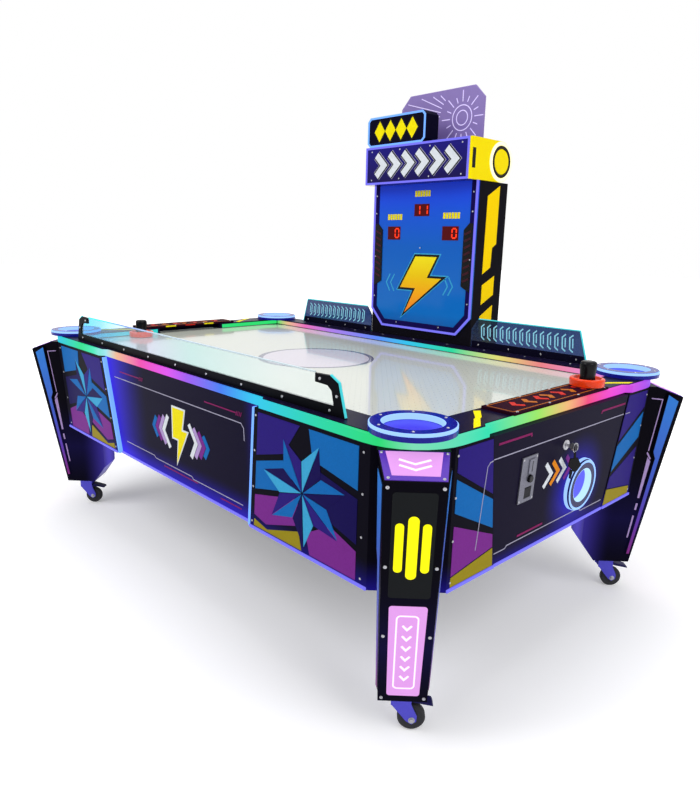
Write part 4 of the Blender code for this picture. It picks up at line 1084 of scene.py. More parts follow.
@dataclass
class Legs:
    """Lit panels, bars and stripes on the four legs."""

    apex: Pair = (0.035, 0.762)
    top: Pair = (-0.066, 0.7997)
    foot: Pair = (-0.078, 0.1285)
    half_foot: float = 0.063
    half_apex: float = 0.071
    half_top: float = 0.085
    glass: tuple[float, float, float, float] = (0.0500, 0.3295, 0.617, 0.008)
    bars: tuple[Triple, ...] = (
        (-0.031, 0.0100, 0.0665), (0.0, 0.0125, 0.0855), (0.031, 0.0100, 0.0665),
    )
    bar_middle: float = 0.471
    lit_panel: Pair = (0.0215, 0.3055)
    lit_half: float = 0.0435
    lit_flare: float = 0.12
    lit_mark: Pair = (0.0020, 0.0027)
    chevrons: int = 6
    chevron_step: float = 0.0320
    frame_high: float = 0.0015
    bevel_start: float = 0.003
    edge_shift: tuple[float, ...] = (0.013, -0.006, -0.006, 0)
    ridge_down: tuple[float, ...] = (-0.003, 0.212, 0.236, 0.613)
    ridge_in: tuple[float, ...] = (0.060, 0.048, 0.034, 0.022)
    ridge_high: tuple[float, ...] = (0.0120, 0.0105, 0.0085, 0.0055)
    stripe: tuple[Path, ...] = (
        ((0.0146, 0.0174), (0.0575, 0.0010)),
        ((0.0160, 0.2040), (0.0455, 0.2100)),
        ((0.0157, 0.2280), (0.0315, 0.2340)),
        ((0.0085, 0.6110), (0.0195, 0.6110)),
    )
    dashes: tuple[Path, ...] = (
        ((0.061, 0.216), (0.063, 0.222), (0.0445, 0.244), (0.0425, 0.238)),
        ((0.0405, 0.249), (0.0555, 0.236), (0.0440, 0.392), (0.0365, 0.392)),
        ((0.0350, 0.413), (0.0420, 0.413), (0.0410, 0.439), (0.0340, 0.439)),
        ((0.0340, 0.462), (0.0400, 0.462), (0.0360, 0.550), (0.0305, 0.550)),
    )

    def build(self) -> None:
        """Dress the four legs."""
        dress(Look.LEG_BOARD, *(f"leg_{name}" for name in CORNERS))
        kit = Kit("leg")
        for corner in CORNERS.values():
            self.front(kit, corner)
            self.shoulder(kit, corner)
            for hand in (-1, 1):
                self.flank(kit, corner, hand)
        kit.finish()

    def axes(self, corner: tuple[int, int]) -> tuple[np.ndarray, np.ndarray, np.ndarray]:
        """Give a corner's square corner point, its way out along the diagonal and across it."""
        base = Place.centre + vec(corner[0] * Place.half_x, corner[1] * Place.half_y, 0)
        out = unit(vec(*corner, 0))
        return base, out, np.cross(Z_AXIS, out)

    def front(self, kit: Kit, corner: tuple[int, int]) -> None:
        """Lay the dark glass with its bars, the lit panel and screws on a leg's long face."""
        base, out, across = self.axes(corner)
        low = base + out * self.foot[0] + Z_AXIS * self.foot[1]
        high = base + out * self.apex[0] + Z_AXIS * self.apex[1]
        face = Face(low, across, unit(high - low))
        half, bottom, top, radius = self.glass
        pane = rounded(-half, bottom, half, top, radius)
        kit.of("glass", Look.GREY_GLASS).plate(face, pane, 0.0, VINYL_HIGH)
        middle = self.bar_middle
        bars = kit.of("bars", Look.LED_YELLOW)
        for centre, reach, tall in self.bars:
            outline = rounded(centre - reach, middle - tall, centre + reach, middle + tall, reach - 0.0003)
            bars.plate(face, outline, VINYL_HIGH, 0.0035, edge=0.001)
        bottom, top = self.lit_panel
        outline = rounded(-self.lit_half, bottom, self.lit_half, top, 0.008)
        outline = outline * (vec(1, 1) + (outline[:, 1:] / top - 0.5) * vec(self.lit_flare, 0))
        kit.of("lit_panel", Look.LED_PINK).plate(face, outline, 0.0, 0.0022, edge=0.0008)
        rim = rounded(-0.026, bottom + 0.026, 0.026, top - 0.028, 0.010)
        kit.of("lit_outline", Look.LED_WHITE).line(face, rim, 0.004, *self.lit_mark, closed=True)
        arms = np.array(((-0.011, 0.009), (0.0, -0.004), (0.011, 0.009)))
        for step in range(self.chevrons):
            at = vec(0.0, bottom + 0.058 + self.chevron_step * step)
            kit.of("lit_chevrons", Look.LED_WHITE).line(face, arms + at, 0.0055, *self.lit_mark)
        heights = np.array((0.0115, 0.2125, 0.417, 0.6285))
        wide = np.interp(heights, (0.0, 0.64), (0.054, 0.062))
        spots = np.concatenate((np.stack((wide, heights), -1), np.stack((-wide, heights), -1)))
        kit.of("screws", Look.SATIN_STEEL).screw(face, spots, radius=0.0048)

    def shoulder(self, kit: Kit, corner: tuple[int, int]) -> None:
        """Lay a lit panel in a purple frame on a leg's sloping shoulder."""
        base, out, across = self.axes(corner)
        low = base + out * self.apex[0] + Z_AXIS * self.apex[1]
        high = base + out * self.top[0] + Z_AXIS * self.top[1]
        face = Face(low, across, unit(high - low))
        rise = float(np.linalg.norm(high - low))
        ends = ((-self.half_apex, 0.0), (self.half_apex, 0.0), (self.half_top, rise), (-self.half_top, rise))
        outline = np.array(ends)
        frame_outline = outline + 0.003 * miters(outline, True)
        kit.of("shoulder_frame", Look.PURPLE_FRAME).plate(face, frame_outline, 0.0, self.frame_high)
        inner = ((-0.053, 0.018), (0.053, 0.018), (0.066, rise - 0.006), (-0.066, rise - 0.006))
        kit.of("shoulder_lit", Look.LED_PINK).plate(face, inner, self.frame_high, 0.0030, edge=0.0008)
        arms = np.array(((-0.036, 0.052), (0.0, 0.036), (0.036, 0.052)))
        for step in range(2):
            path = arms + vec(0.0, 0.020 * step)
            kit.of("shoulder_chevrons", Look.LED_WHITE).line(face, path, 0.006, 0.0028, 0.0036)
        spots = ((-0.061, 0.010), (0.061, 0.010), (-0.075, rise - 0.010), (0.075, rise - 0.010))
        kit.of("screws", Look.SATIN_STEEL).screw(face, spots, radius=0.004, depth=self.frame_high)

    def flank(self, kit: Kit, corner: tuple[int, int], hand: int) -> None:
        """Lay a leg's bevel with its fading stripe, and the thin line and dashes beside it."""
        base, out, across = self.axes(corner)
        taper = (self.half_apex - self.half_foot) / (self.apex[1] - self.foot[1])
        low = base + out * self.foot[0] + across * hand * self.half_foot + Z_AXIS * self.foot[1]
        high = base + out * self.apex[0] + across * hand * self.half_apex + Z_AXIS * self.apex[1]
        up = unit(high - low)
        normal = unit(across * hand - Z_AXIS * taper)
        face = Face(low, np.cross(up, normal), up)
        length = float(np.linalg.norm(high - low))

        def flat(points: np.ndarray) -> np.ndarray:
            """Turn (in from the edge, down from the apex) to the flank's flat points."""
            return (np.asarray(points) * vec(1, -1) + vec(0, length)) * vec(hand, 1)

        def raised(points: np.ndarray) -> np.ndarray:
            """Give the bevel's height at such points: it climbs evenly from the edge to its ridge."""
            wide = np.interp(points[..., 1], self.ridge_down, self.ridge_in)
            tall = np.interp(points[..., 1], self.ridge_down, self.ridge_high)
            return SKIN + (points[..., 0] - self.bevel_start) / (wide - self.bevel_start) * (tall - SKIN)

        ridge = np.stack((self.ridge_in, self.ridge_down), -1)
        edge_down = ridge[:, 1] + vec(*self.edge_shift)
        edge = np.stack((np.full(len(ridge), self.bevel_start), edge_down), -1)
        foot = ridge + vec(0.005, 0)
        bevel = np.stack((edge, ridge, foot), 1)
        depth = np.stack((np.full(len(ridge), SKIN), self.ridge_high, np.zeros(len(ridge))), 1)
        kit.of("bevel", Look.LEG_BOARD).grid(face.place(flat(bevel), depth))
        stripe = np.array(self.stripe)[:, (0, 1, 1, 0)]
        lift = vec(-PRINT_HIGH, -PRINT_HIGH, LINE_HIGH, LINE_HIGH)
        kit.of("stripe", Look.LEG_STRIPE).grid(face.place(flat(stripe), raised(stripe) + lift))
        arm = ((0.068, 0.008), (0.106, 0.013))
        kit.of("stripe_arm", Look.LEG_STRIPE).line(face, flat(arm), 0.004, 0.0, PRINT_HIGH)
        thin = ((0.106, 0.026), (0.068, 0.022), (0.059, 0.212))
        kit.of("thin_line", Look.LINE_LILAC).line(face, flat(thin), 0.0035, 0.0, BAR_HIGH)
        for shape in self.dashes:
            kit.of("dashes", Look.LINE_LILAC).plate(face, flat(shape), 0.0, VINYL_HIGH)


@dataclass
class Casters:
    """Axle nuts on the casters."""

    fork_half: float = 0.021
    washer_radius: float = 0.009
    nut_radius: float = 0.0065
    nut_high: float = 0.0055

    def build(self) -> None:
        """Dress the casters and add their nuts."""
        for name in CORNERS:
            dress(Look.ZINC, f"caster_fork_{name}")
            dress(Look.BLACK_RUBBER, f"caster_wheel_{name}")
            dress(Look.VIOLET_NYLON, f"brake_pedal_{name}")
            self.nuts(name)

    def nuts(self, name: str) -> None:
        """Set a six-sided axle nut with a round washer on each side of a fork."""
        middle = (low_corner(f"caster_wheel_{name}") + high_corner(f"caster_wheel_{name}")) / 2
        axle = unit(vec(1, -1, 0))
        kit = Kit(f"caster_{name}")
        for hand in (-1, 1):
            face = Face(middle + axle * hand * self.fork_half, np.cross(Z_AXIS, axle * hand), Z_AXIS)
            nut = kit.of("nut", Look.SATIN_STEEL, f"fork_{name}")
            nut.plate(face, disc((0, 0), self.washer_radius, 20), 0.0, VINYL_HIGH)
            nut.plate(face, disc((0, 0), self.nut_radius, 6), VINYL_HIGH, self.nut_high, edge=0.0008)
        kit.finish()


@dataclass
class PlayingTop:
    """Playfield, rails, lit walls, goal covers, hazard marks and corner rings."""

    field_half: Pair = (1.000, 0.556)
    goal_half: float = 0.175
    wall_low: float = 0.003
    wall_high: float = 0.021
    wall_thick: float = 0.0015
    ring_opening: float = 0.0786
    ring_lip: float = 0.105
    ring_light: float = 0.0030
    ring_screws: float = 0.0925
    cup_floor: float = 0.004
    goal_margin: float = 0.010
    goal_step: float = 0.062
    block_half: float = 0.028
    block_step: float = 0.11
    rail_middle: float = 0.600

    def build(self) -> None:
        """Dress the playing top and add its lights and prints."""
        dress(Look.FIELD, "playfield")
        dress(Look.FIELD_LIGHT, "light_strip")
        dress(Look.RAIL_BOARD, "rail_near", "rail_far", "rail_right", "rail_left")
        dress(Look.RED_PRINT, "goal_cover_right", "goal_cover_left")
        dress(Look.RING_BLUE, *(f"corner_ring_{name}" for name in CORNERS))
        dress(Look.GREY_ABS, "plenum_box", "blower_housing", "blower_impeller")
        kit = Kit("top")
        self.walls(kit)
        for end in ENDS.values():
            self.goal(kit, end)
            self.hazard_marks(kit, end)
        for name in CORNERS:
            self.ring(kit, name)
        self.rail_screws(kit)
        kit.finish()

    def walls(self, kit: Kit) -> None:
        """Line the field's walls with a lit strip, open at the goals."""
        strip = kit.of("lit_wall", Look.FIELD_WALL)
        x, y = self.field_half
        face = level_face(Place.top_z)
        low, high = self.wall_low, self.wall_high
        inset = self.wall_thick / 2 + SKIN
        for hand in (-1, 1):
            edge = hand * (y - inset)
            strip.line(face, ((-x + 0.004, edge), (x - 0.004, edge)), self.wall_thick, low, high)
            for side in (-1, 1):
                edge = side * (x - inset)
                path = ((edge, hand * (self.goal_half + 0.012)), (edge, hand * (y - 0.006)))
                strip.line(face, path, self.wall_thick, low, high)

    def goal(self, kit: Kit, end: int) -> None:
        """Print a gold border and chevrons on a goal cover, screw it, and set blocks on its inner edge."""
        node = "goal_cover_right" if end > 0 else "goal_cover_left"
        low, high = low_corner(node) - Place.centre, high_corner(node) - Place.centre
        face = level_face(high[2])
        gold = kit.of("goal_gold", Look.GOLD_PRINT)
        margin = self.goal_margin
        border = rounded(low[0] + margin, low[1] + margin, high[0] - margin, high[1] - margin, 0.006)
        gold.line(face, border, 0.003, 0.0, LINE_HIGH, closed=True)
        middle = (low[0] + high[0]) / 2
        arms = np.array(((-0.022, -0.020), (0.0, 0.0), (0.022, -0.020)))
        for step in range(-3, 4):
            hand = 1 if step >= 0 else -1
            path = arms * vec(1, hand) + vec(middle, self.goal_step * step)
            look = Look.RED_BLOCK if step % 2 else Look.GOLD_PRINT
            kit.of("goal_chevron_" + look.value.name, look).line(face, path, 0.016, 0.0, PRINT_HIGH)
        edges = (low[0] + 0.005, high[0] - 0.005)
        rows = np.linspace(low[1] + 0.02, high[1] - 0.02, 4)
        spots = [(x, y) for x in edges for y in rows]
        kit.of("screws", Look.SATIN_STEEL).screw(face, spots, radius=0.004)
        inner = low[0] if end > 0 else high[0]
        lip = Face(vec(inner, 0, 0) + Place.centre + Z_AXIS * (low[2] + 0.001), vec(0, -end, 0), Z_AXIS)
        for index, look in enumerate((Look.YELLOW_PRINT, Look.RED_BLOCK, Look.YELLOW_PRINT)):
            at = self.block_step * (index - 1)
            block = rectangle(at - self.block_half, 0.0, at + self.block_half, 0.006)
            kit.of("goal_block_" + look.value.name, look).plate(lip, block, 0.0, VINYL_HIGH)

    def hazard_marks(self, kit: Kit, end: int) -> None:
        """Print a bent yellow mark on an end rail on each side of its goal cover."""
        face = level_face(Place.rail_z)
        marks = kit.of("hazard_marks", Look.YELLOW_PRINT)
        upper = ((1.008, 0.304), (1.020, 0.287), (1.062, 0.340), (1.066, 0.352), (1.112, 0.414))
        lower = ((1.112, 0.444), (1.060, 0.372), (1.056, 0.360))
        outline = np.array(upper + lower)
        for hand in (-1, 1):
            marks.plate(face, outline * vec(end, hand), 0.0, BAR_HIGH)

    def ring(self, kit: Kit, name: str) -> None:
        """Light a corner ring's outer band, inner wall and cup floor, and screw it down."""
        node = f"corner_ring_{name}"
        face = foot_face(node)
        tall = high_corner(node)[2] - low_corner(node)[2]
        outer, inner, light = self.ring_lip, self.ring_opening, self.ring_light
        band = (
            (outer + SKIN, tall - 0.0102), (outer + light, tall - 0.0095),
            (outer + light, tall - 0.002), (outer + SKIN, tall - 0.001),
        )
        kit.of("ring_band", Look.LED_ICE).turned(face, (0, 0), band, 72)
        floor = self.cup_floor + SKIN
        wall = (
            (inner - SKIN, floor + 0.002), (inner - SKIN, tall - 0.0005),
            (inner - light, tall - 0.0015), (inner - light, floor + 0.002),
        )
        kit.of("ring_wall", Look.LED_ICE).turned(face, (0, 0), wall, 64)
        base = disc((0, 0), inner - 0.0036, 48)
        kit.of("ring_floor", Look.CUP_FLOOR).plate(face, base, floor, floor + VINYL_HIGH)
        angles = np.linspace(0, 2 * math.pi, 6, endpoint=False) + 0.2
        spots = self.ring_screws * np.stack((np.cos(angles), np.sin(angles)), -1)
        kit.of("ring_screws", Look.SATIN_STEEL).screw(face, spots, radius=0.0038, depth=tall)

    def rail_screws(self, kit: Kit) -> None:
        """Set screws along the long rails."""
        face = level_face(Place.rail_z)
        rows = np.linspace(-0.80, 0.80, 9)
        spots = [(x, hand * self.rail_middle) for x in rows for hand in (-1, 1)]
        kit.of("rail_screws", Look.SATIN_STEEL).screw(face, spots)


@dataclass
class Guards:
    """Clear guards with lit edges, their screws and their printed brackets."""

    edge: float = 0.0035
    sheet_half: float = 0.735
    hook: Path = ((0.8572, 0.829), (0.8312, 0.9152), (0.7985, 0.9312))
    hook_depth: Pair = (-0.0080, -0.0020)
    screw_radius: float = 0.0045
    back_near: float = 0.310
    back_far: float = 0.848
    back_shoulder: float = 0.810
    band_high: float = 0.0010
    brackets: int = 14
    bracket: Path = ((0.018, 0.040), (0.004, 0.050), (0.0, 0.094), (0.014, 0.106))
    dash: Path = ((0.016, 0.056), (0.013, 0.092))

    def build(self) -> None:
        """Dress the guards and add their edges, screws and brackets."""
        dress(Look.BLACK_STEEL, "near_guard_frame")
        dress(Look.CLEAR, "near_guard_sheet")
        dress(Look.SMOKED, "back_guard_right", "back_guard_left")
        kit = Kit("guard")
        self.near(kit)
        for name, hand in ENDS.items():
            self.back(kit, name, hand)
        kit.finish()

    def near(self, kit: Kit) -> None:
        """Light the near sheet's top edge and the frame's hooked ends, and screw the frame."""
        low, high = corners_of("near_guard_sheet")
        thick = high[1] - low[1]
        face = Face(vec(0, high[1], 0), vec(1, 0, 0), Z_AXIS)
        top = high[2] + self.edge / 2 + SKIN
        strip = kit.of("near_lit_edge", Look.GUARD_EDGE)
        strip.line(face, ((-self.sheet_half, top), (self.sheet_half, top)), self.edge, 0.0, thick)
        front = front_face("near_guard_frame")
        for hand in (-1, 1):
            hook = np.array(self.hook) * vec(hand, 1)
            kit.of("hook_lit_edge", Look.LED_CYAN).line(front, hook, self.edge, *self.hook_depth)
        height = low_corner("near_guard_frame")[2] + 0.012
        rows = [(x, height) for x in np.linspace(-0.80, 0.80, 9)]
        ends = [(hand * x, z) for hand in (-1, 1) for x, z in ((0.826, 0.880), (0.760, 0.916))]
        for side in (front, back_face("near_guard_frame")):
            kit.of("near_screws", Look.SATIN_STEEL).screw(side, rows + ends, radius=self.screw_radius)

    def back(self, kit: Kit, name: str, hand: int) -> None:
        """Print brackets on a back guard over a dark lower band, and light its edges."""
        low, high = corners_of(f"back_guard_{name}")
        face = front_face(f"back_guard_{name}")
        near, far = self.back_near, self.back_far
        base, top = low[2], high[2]
        hands = vec(hand, 1)
        inner, upper = near + 0.002, base + 0.030
        band = np.array(((inner, base), (far - 0.004, base), (far - 0.010, upper), (inner, upper)))
        kit.of("back_band", Look.NAVY_PRINT).plate(face, band * hands, 0.0, self.band_high)
        bars = kit.of("back_bars", Look.LED_GLYPH)
        for start in np.linspace(near + 0.050, far - 0.075, self.brackets):
            for shape, width in ((self.bracket, 0.0050), (self.dash, 0.0045)):
                bars.line(face, (np.array(shape) + vec(start, base)) * hands, width, 0.0, PRINT_HIGH)
        half = self.edge / 2 + SKIN
        thick = high[1] - low[1]
        over = top + half
        edge = ((near + 0.032, over), (self.back_shoulder + half, over), (far + half, base + 0.004))
        kit.of("back_lit_edge", Look.LED_CYAN).line(face, np.array(edge) * hands, self.edge, -thick, 0.0)
        spots = [(x * hand, base + 0.014) for x in np.linspace(near + 0.04, far - 0.04, 4)]
        kit.of("back_screws", Look.SATIN_STEEL).screw(face, spots, radius=0.004, depth=self.band_high)


class Segment(Enum):
    """The seven bars of a number display, as ends in a cell one unit wide and two tall."""

    TOP = ((0, 2), (1, 2))
    HIGH_RIGHT = ((1, 2), (1, 1))
    LOW_RIGHT = ((1, 1), (1, 0))
    BASE = ((0, 0), (1, 0))
    LOW_LEFT = ((0, 0), (0, 1))
    HIGH_LEFT = ((0, 1), (0, 2))
    MIDDLE = ((0, 1), (1, 1))


ZERO = tuple(segment for segment in Segment if segment is not Segment.MIDDLE)
ONE = (Segment.HIGH_RIGHT, Segment.LOW_RIGHT)


@dataclass
class Tower:
    """Score tower: face with displays, header, sign, crest and striped flanks."""

    half: float = 0.303
    low_z: float = 0.868
    chamfer_z: float = 0.948
    low_half: float = 0.228
    top_z: float = 1.5257
    outline_width: float = 0.010
    border_width: float = 0.024
    trim_high: float = 0.0040
    digit: Pair = (0.023, 0.020)
    window_high: float = 0.0020
    emblem_at: Pair = (-0.006, 1.080)
    emblem_size: float = 1.05
    frame_width: float = 0.009
    sign_width: float = 0.008
    sign_cut: float = 0.014
    crest_at: Pair = (0.120, 1.800)
    crest_cut: float = 0.052
    drawn_width: float = 0.004
    lamp_glow: Path = (
        (-0.016, 0.0), (-0.001, 0.0), (-0.004, 0.004), (-0.015, 0.004),
    )
    lamp_ring: Path = (
        (-0.030, 0.0), (-0.017, 0.0), (-0.018, 0.004), (-0.029, 0.004),
    )

    def build(self) -> None:
        """Dress the tower and add its displays, lights and prints."""
        dress(Look.TOWER_BOARD, "tower_cabinet", "tower_back_cover")
        dress(Look.FACE_PRINT, "tower_face")
        dress(Look.HEADER_PRINT, "header_box")
        dress(Look.NAVY_PRINT, "sign_box")
        dress(Look.YELLOW_GLOSS, "header_cheek_right", "header_cheek_left")
        dress(Look.VIOLET, "crest_plate")
        kit = Kit("tower")
        face = front_face("tower_face")
        self.border(kit, face)
        self.displays(kit, face)
        self.emblem(kit, face)
        self.header(kit)
        self.sign(kit)
        self.crest(kit)
        for hand in ENDS.values():
            self.flank(kit, hand)
            self.cheek(kit, hand)
        self.back(kit)
        kit.finish()

    def face_outline(self, inset: float) -> np.ndarray:
        """Give the line down one side, along the cut foot and up the other, moved in by the inset."""
        right = np.array(((self.low_half, self.low_z), (self.half, self.chamfer_z), (self.half, self.top_z)))
        outline = np.concatenate((right[::-1] * vec(-1, 1), right))
        return outline + inset * miters(outline, False)

    def border(self, kit: Kit, face: Face) -> None:
        """Run the lit outline and the violet border round the face, with ribbed trims and screws."""
        bright = self.face_outline(self.outline_width / 2)
        kit.of("lit_outline", Look.LED_VIOLET).line(face, bright, self.outline_width, 0.0, 0.004)
        dark = self.face_outline(self.outline_width + self.border_width / 2)
        kit.of("border", Look.INDIGO_DARK).line(face, dark, self.border_width, 0.0, VINYL_HIGH)
        trim = kit.of("trim", Look.BLACK_GLOSS)
        ribs = kit.of("trim_ribs", Look.RIB_RED)
        edge = self.half - self.outline_width - 0.004
        shape = (
            (edge, 1.060), (edge - 0.048, 1.085), (edge - 0.048, 1.325), (edge - 0.020, 1.352), (edge, 1.352),
        )
        for hand in (-1, 1):
            trim.plate(face, np.array(shape) * vec(hand, 1), VINYL_HIGH, self.trim_high, edge=0.0008)
            for height in np.linspace(1.105, 1.305, 8):
                rib = ((edge - 0.040, height), (edge - 0.008, height + 0.014))
                ribs.line(face, np.array(rib) * vec(hand, 1), 0.009, self.trim_high, 0.0055)
        sides = [(hand * 0.283, z) for hand in (-1, 1) for z in (1.010, 1.200, 1.400, 1.480)]
        spots = sides + [(-0.13, 0.893), (0.13, 0.893), (0.0, 1.245)]
        kit.of("face_screws", Look.SATIN_STEEL).screw(face, spots, radius=0.0036, depth=0.0042)

    def displays(self, kit: Kit, face: Face) -> None:
        """Set three red number displays under their plain caption bars."""
        windows = (
            ((-0.046, 1.385, 0.042, 1.438), (ONE, ONE), (-0.046, 1.470, 0.047, 1.496)),
            ((-0.208, 1.280, -0.128, 1.340), ((), ZERO), (-0.211, 1.370, -0.118, 1.396)),
            ((0.122, 1.280, 0.212, 1.340), ((), ZERO), (0.122, 1.372, 0.217, 1.398)),
        )
        for window, digits, caption in windows:
            kit.of("display", Look.LED_RED_OFF).plate(face, rectangle(*window), 0.0, self.window_high)
            left, base, right, top = caption
            for share in np.linspace(0.0, 1.0, 6, endpoint=False):
                start = left + (right - left) * share
                block = rectangle(start, base, start + (right - left) * 0.135, top)
                kit.of("caption", Look.YELLOW_PRINT).plate(face, block, 0.0, PRINT_HIGH)
            step = (window[2] - window[0]) / 2
            wide, tall = self.digit
            foot = (window[1] + window[3]) / 2 - tall
            for index, segments in enumerate(digits):
                origin = vec(window[0] + step * (index + 0.5) - wide / 2, foot)
                for segment in segments:
                    ends = origin + np.array(segment.value) * vec(wide, tall)
                    shrunk = ends + 0.12 * (ends[::-1] - ends)
                    kit.of("digits", Look.LED_RED).line(face, shrunk, 0.0065, self.window_high, 0.0028)

    def emblem(self, kit: Kit, face: Face) -> None:
        """Lay a large fading bolt with a dark and a pale rim on the face."""
        spot = face.shifted(self.emblem_at)
        corners = (
            (-0.02, 0.120), (0.10, 0.120), (0.050, 0.030), (0.13, 0.030),
            (-0.075, -0.130), (-0.015, -0.018), (-0.105, -0.018),
        )
        bolt = anticlockwise(np.array(corners) * self.emblem_size)
        rim = miters(bolt, True)
        kit.of("emblem_pale", Look.CYAN_PRINT).plate(spot, bolt - 0.015 * rim, 0.0, PRINT_HIGH)
        kit.of("emblem_dark", Look.BLACK_GLOSS).plate(spot, bolt - 0.010 * rim, PRINT_HIGH, 0.0014)
        kit.of("emblem", Look.EMBLEM).plate(spot, bolt, 0.0014, 0.0022)
        for hand in (-1, 1):
            for step in range(2):
                start = 0.150 + 0.028 * step
                arms = np.array(((start, 0.040), (start + 0.024, 0.0), (start, -0.040))) * vec(hand, 1)
                kit.of("emblem_chevrons", Look.CYAN_PRINT).line(spot, arms, 0.006, 0.0, PRINT_HIGH)

    def header(self, kit: Kit) -> None:
        """Light the header's edges and lay a row of pale chevrons with dark rims on its face."""
        low, high = corners_of("header_box")
        face = front_face("header_box")
        width = self.frame_width
        edge = rectangle(low[0] + width / 2, low[2] + width / 2, high[0] - width / 2, high[2] - width / 2)
        kit.of("header_lights", Look.LED_VIOLET).line(face, edge, width, 0.0, 0.003, closed=True)
        middle = (low[2] + high[2]) / 2
        bars = kit.of("header_bars", Look.WHITE_PRINT)
        rims = kit.of("header_rims", Look.BLACK_GLOSS)
        pale = kit.of("header_edges", Look.LINE_WHITE)
        chevron = np.array(((-0.024, 0.046), (0.024, 0.0), (-0.024, -0.046)))
        for centre in np.linspace(-0.205, 0.205, 6):
            arms = vec(centre, middle) + chevron
            pale.line(face, arms, 0.046, 0.0, LINE_HIGH)
            rims.line(face, arms, 0.041, LINE_HIGH, 0.0011)
            bars.line(face, arms, 0.030, 0.0011, 0.0017)
        spots = [(x, z) for x in np.linspace(-0.26, 0.26, 4) for z in (low[2] + 0.020, high[2] - 0.020)]
        kit.of("header_screws", Look.SATIN_STEEL).screw(face, spots, radius=0.0034)

    def sign(self, kit: Kit) -> None:
        """Light the sign's outline and lay a row of yellow diamonds on its face."""
        low, high = corners_of("sign_box")
        face = front_face("sign_box")
        cut, inset = self.sign_cut, self.sign_width / 2
        x0, x1, z0, z1 = low[0] + inset, high[0] - inset, low[2] + inset, high[2] - inset
        edge = (
            (x0 + cut, z0), (x1 - cut, z0), (x1, z0 + cut), (x1, z1 - cut),
            (x1 - cut, z1), (x0 + cut, z1), (x0, z1 - cut), (x0, z0 + cut),
        )
        kit.of("sign_lights", Look.LED_BLUE).line(face, edge, self.sign_width, 0.0, 0.003, closed=True)
        middle = (low[2] + high[2]) / 2
        shape = np.array(((0.032, 0.0), (0.0, 0.044), (-0.032, 0.0), (0.0, -0.044)))
        for centre in np.linspace(low[0] + 0.075, high[0] - 0.075, 4):
            diamond = shape + vec(centre, middle)
            rim = diamond - 0.006 * miters(diamond, True)
            kit.of("sign_rims", Look.BLACK_GLOSS).plate(face, rim, 0.0, PRINT_HIGH)
            kit.of("sign_marks", Look.YELLOW_PRINT).plate(face, diamond, PRINT_HIGH, 0.0016)

    def crest(self, kit: Kit) -> None:
        """Draw concentric rings and rays in pale lilac on the crest, and light its edge."""
        low, high = corners_of("crest_plate")
        face = front_face("crest_plate")
        lines = kit.of("crest_lines", Look.LILAC_DRAWN)
        spot = vec(*self.crest_at)
        for radius in (0.030, 0.052):
            lines.line(face, disc(self.crest_at, radius, 40), self.drawn_width, 0.0, BAR_HIGH, closed=True)
        angles = np.linspace(0, 2 * math.pi, 16, endpoint=False)
        reach = np.where(np.arange(16) % 2, 0.090, 0.112)
        for angle, far in zip(angles, reach):
            way = vec(math.cos(angle), math.sin(angle))
            lines.line(face, (spot + way * 0.066, spot + way * far), self.drawn_width, 0.0, BAR_HIGH)
        for angle in np.radians((140, 148, 156, 164, 172)):
            way = vec(math.cos(angle), math.sin(angle))
            far = min(0.330, 0.105 / math.sin(angle))
            lines.line(face, (spot + way * 0.125, spot + way * far), 0.0035, 0.0, BAR_HIGH)
        cut = self.crest_cut
        top = high[2] - 0.001
        edge = (
            (high[0], low[2] + 0.002), (high[0], top - cut), (high[0] - cut, top),
            (low[0] + cut, top), (low[0], top - cut), (low[0], low[2] + 0.002),
        )
        thick = high[1] - low[1]
        path = np.array(edge) * vec(0.995, 1.0)
        kit.of("crest_edge", Look.LED_WHITE).line(face, path, 0.002, -thick - SKIN, -thick)

    def flank(self, kit: Kit, hand: int) -> None:
        """Lay yellow slanting stripes on one flank of the tower."""
        face = Face(Place.centre + vec(hand * self.half, 0, 0), vec(0, hand, 0), Z_AXIS)
        stripes = kit.of("flank_stripes", Look.GOLD_GLOSS)
        shapes = (
            ((0.772, 1.513), (0.688, 1.466), (0.684, 1.139), (0.740, 1.168), (0.744, 1.252), (0.772, 1.268)),
            ((0.775, 1.131), (0.688, 1.092), (0.688, 1.006), (0.775, 1.048)),
            ((0.775, 1.002), (0.686, 0.956), (0.686, 0.872), (0.775, 0.916)),
            ((0.775, 0.872), (0.700, 0.834), (0.775, 0.834)),
        )
        for shape in shapes:
            stripes.plate(face, np.array(shape) * vec(hand, 1), 0.0, VINYL_HIGH)

    def cheek(self, kit: Kit, hand: int) -> None:
        """Set the lamp's rings, and a black plate of painted shade for the slot, on a header cheek."""
        node = "header_cheek_right" if hand > 0 else "header_cheek_left"
        low, high = corners_of(node)
        outer = high[0] if hand > 0 else low[0]
        face = Face(vec(outer, 0, 0), vec(0, hand, 0), Z_AXIS)
        radius = (high[2] - low[2]) / 2
        centre = (hand * (high[1] - radius), (low[2] + high[2]) / 2)
        glow, dark = (np.array(profile) + vec(radius, 0) for profile in (self.lamp_glow, self.lamp_ring))
        kit.of("lamp_glow", Look.LED_CREAM).turned(face, centre, glow, 64)
        kit.of("lamp_ring", Look.BLACK_GLOSS).turned(face, centre, dark, 64)
        lens = disc(centre, radius - 0.031, 48)
        kit.of("lamp_disc", Look.YELLOW_GLOSS).plate(face, lens, 0.0, 0.0045, edge=0.002)
        # The slot is a black plate of painted shade.
        slot_y = hand * (low[1] + 0.014)
        slot = rectangle(slot_y - 0.011, low[2] + 0.043, slot_y + 0.010, high[2] - 0.043)
        kit.of("cheek_slot", Look.BLACK_GLOSS).plate(face, slot, 0.0, VINYL_HIGH)

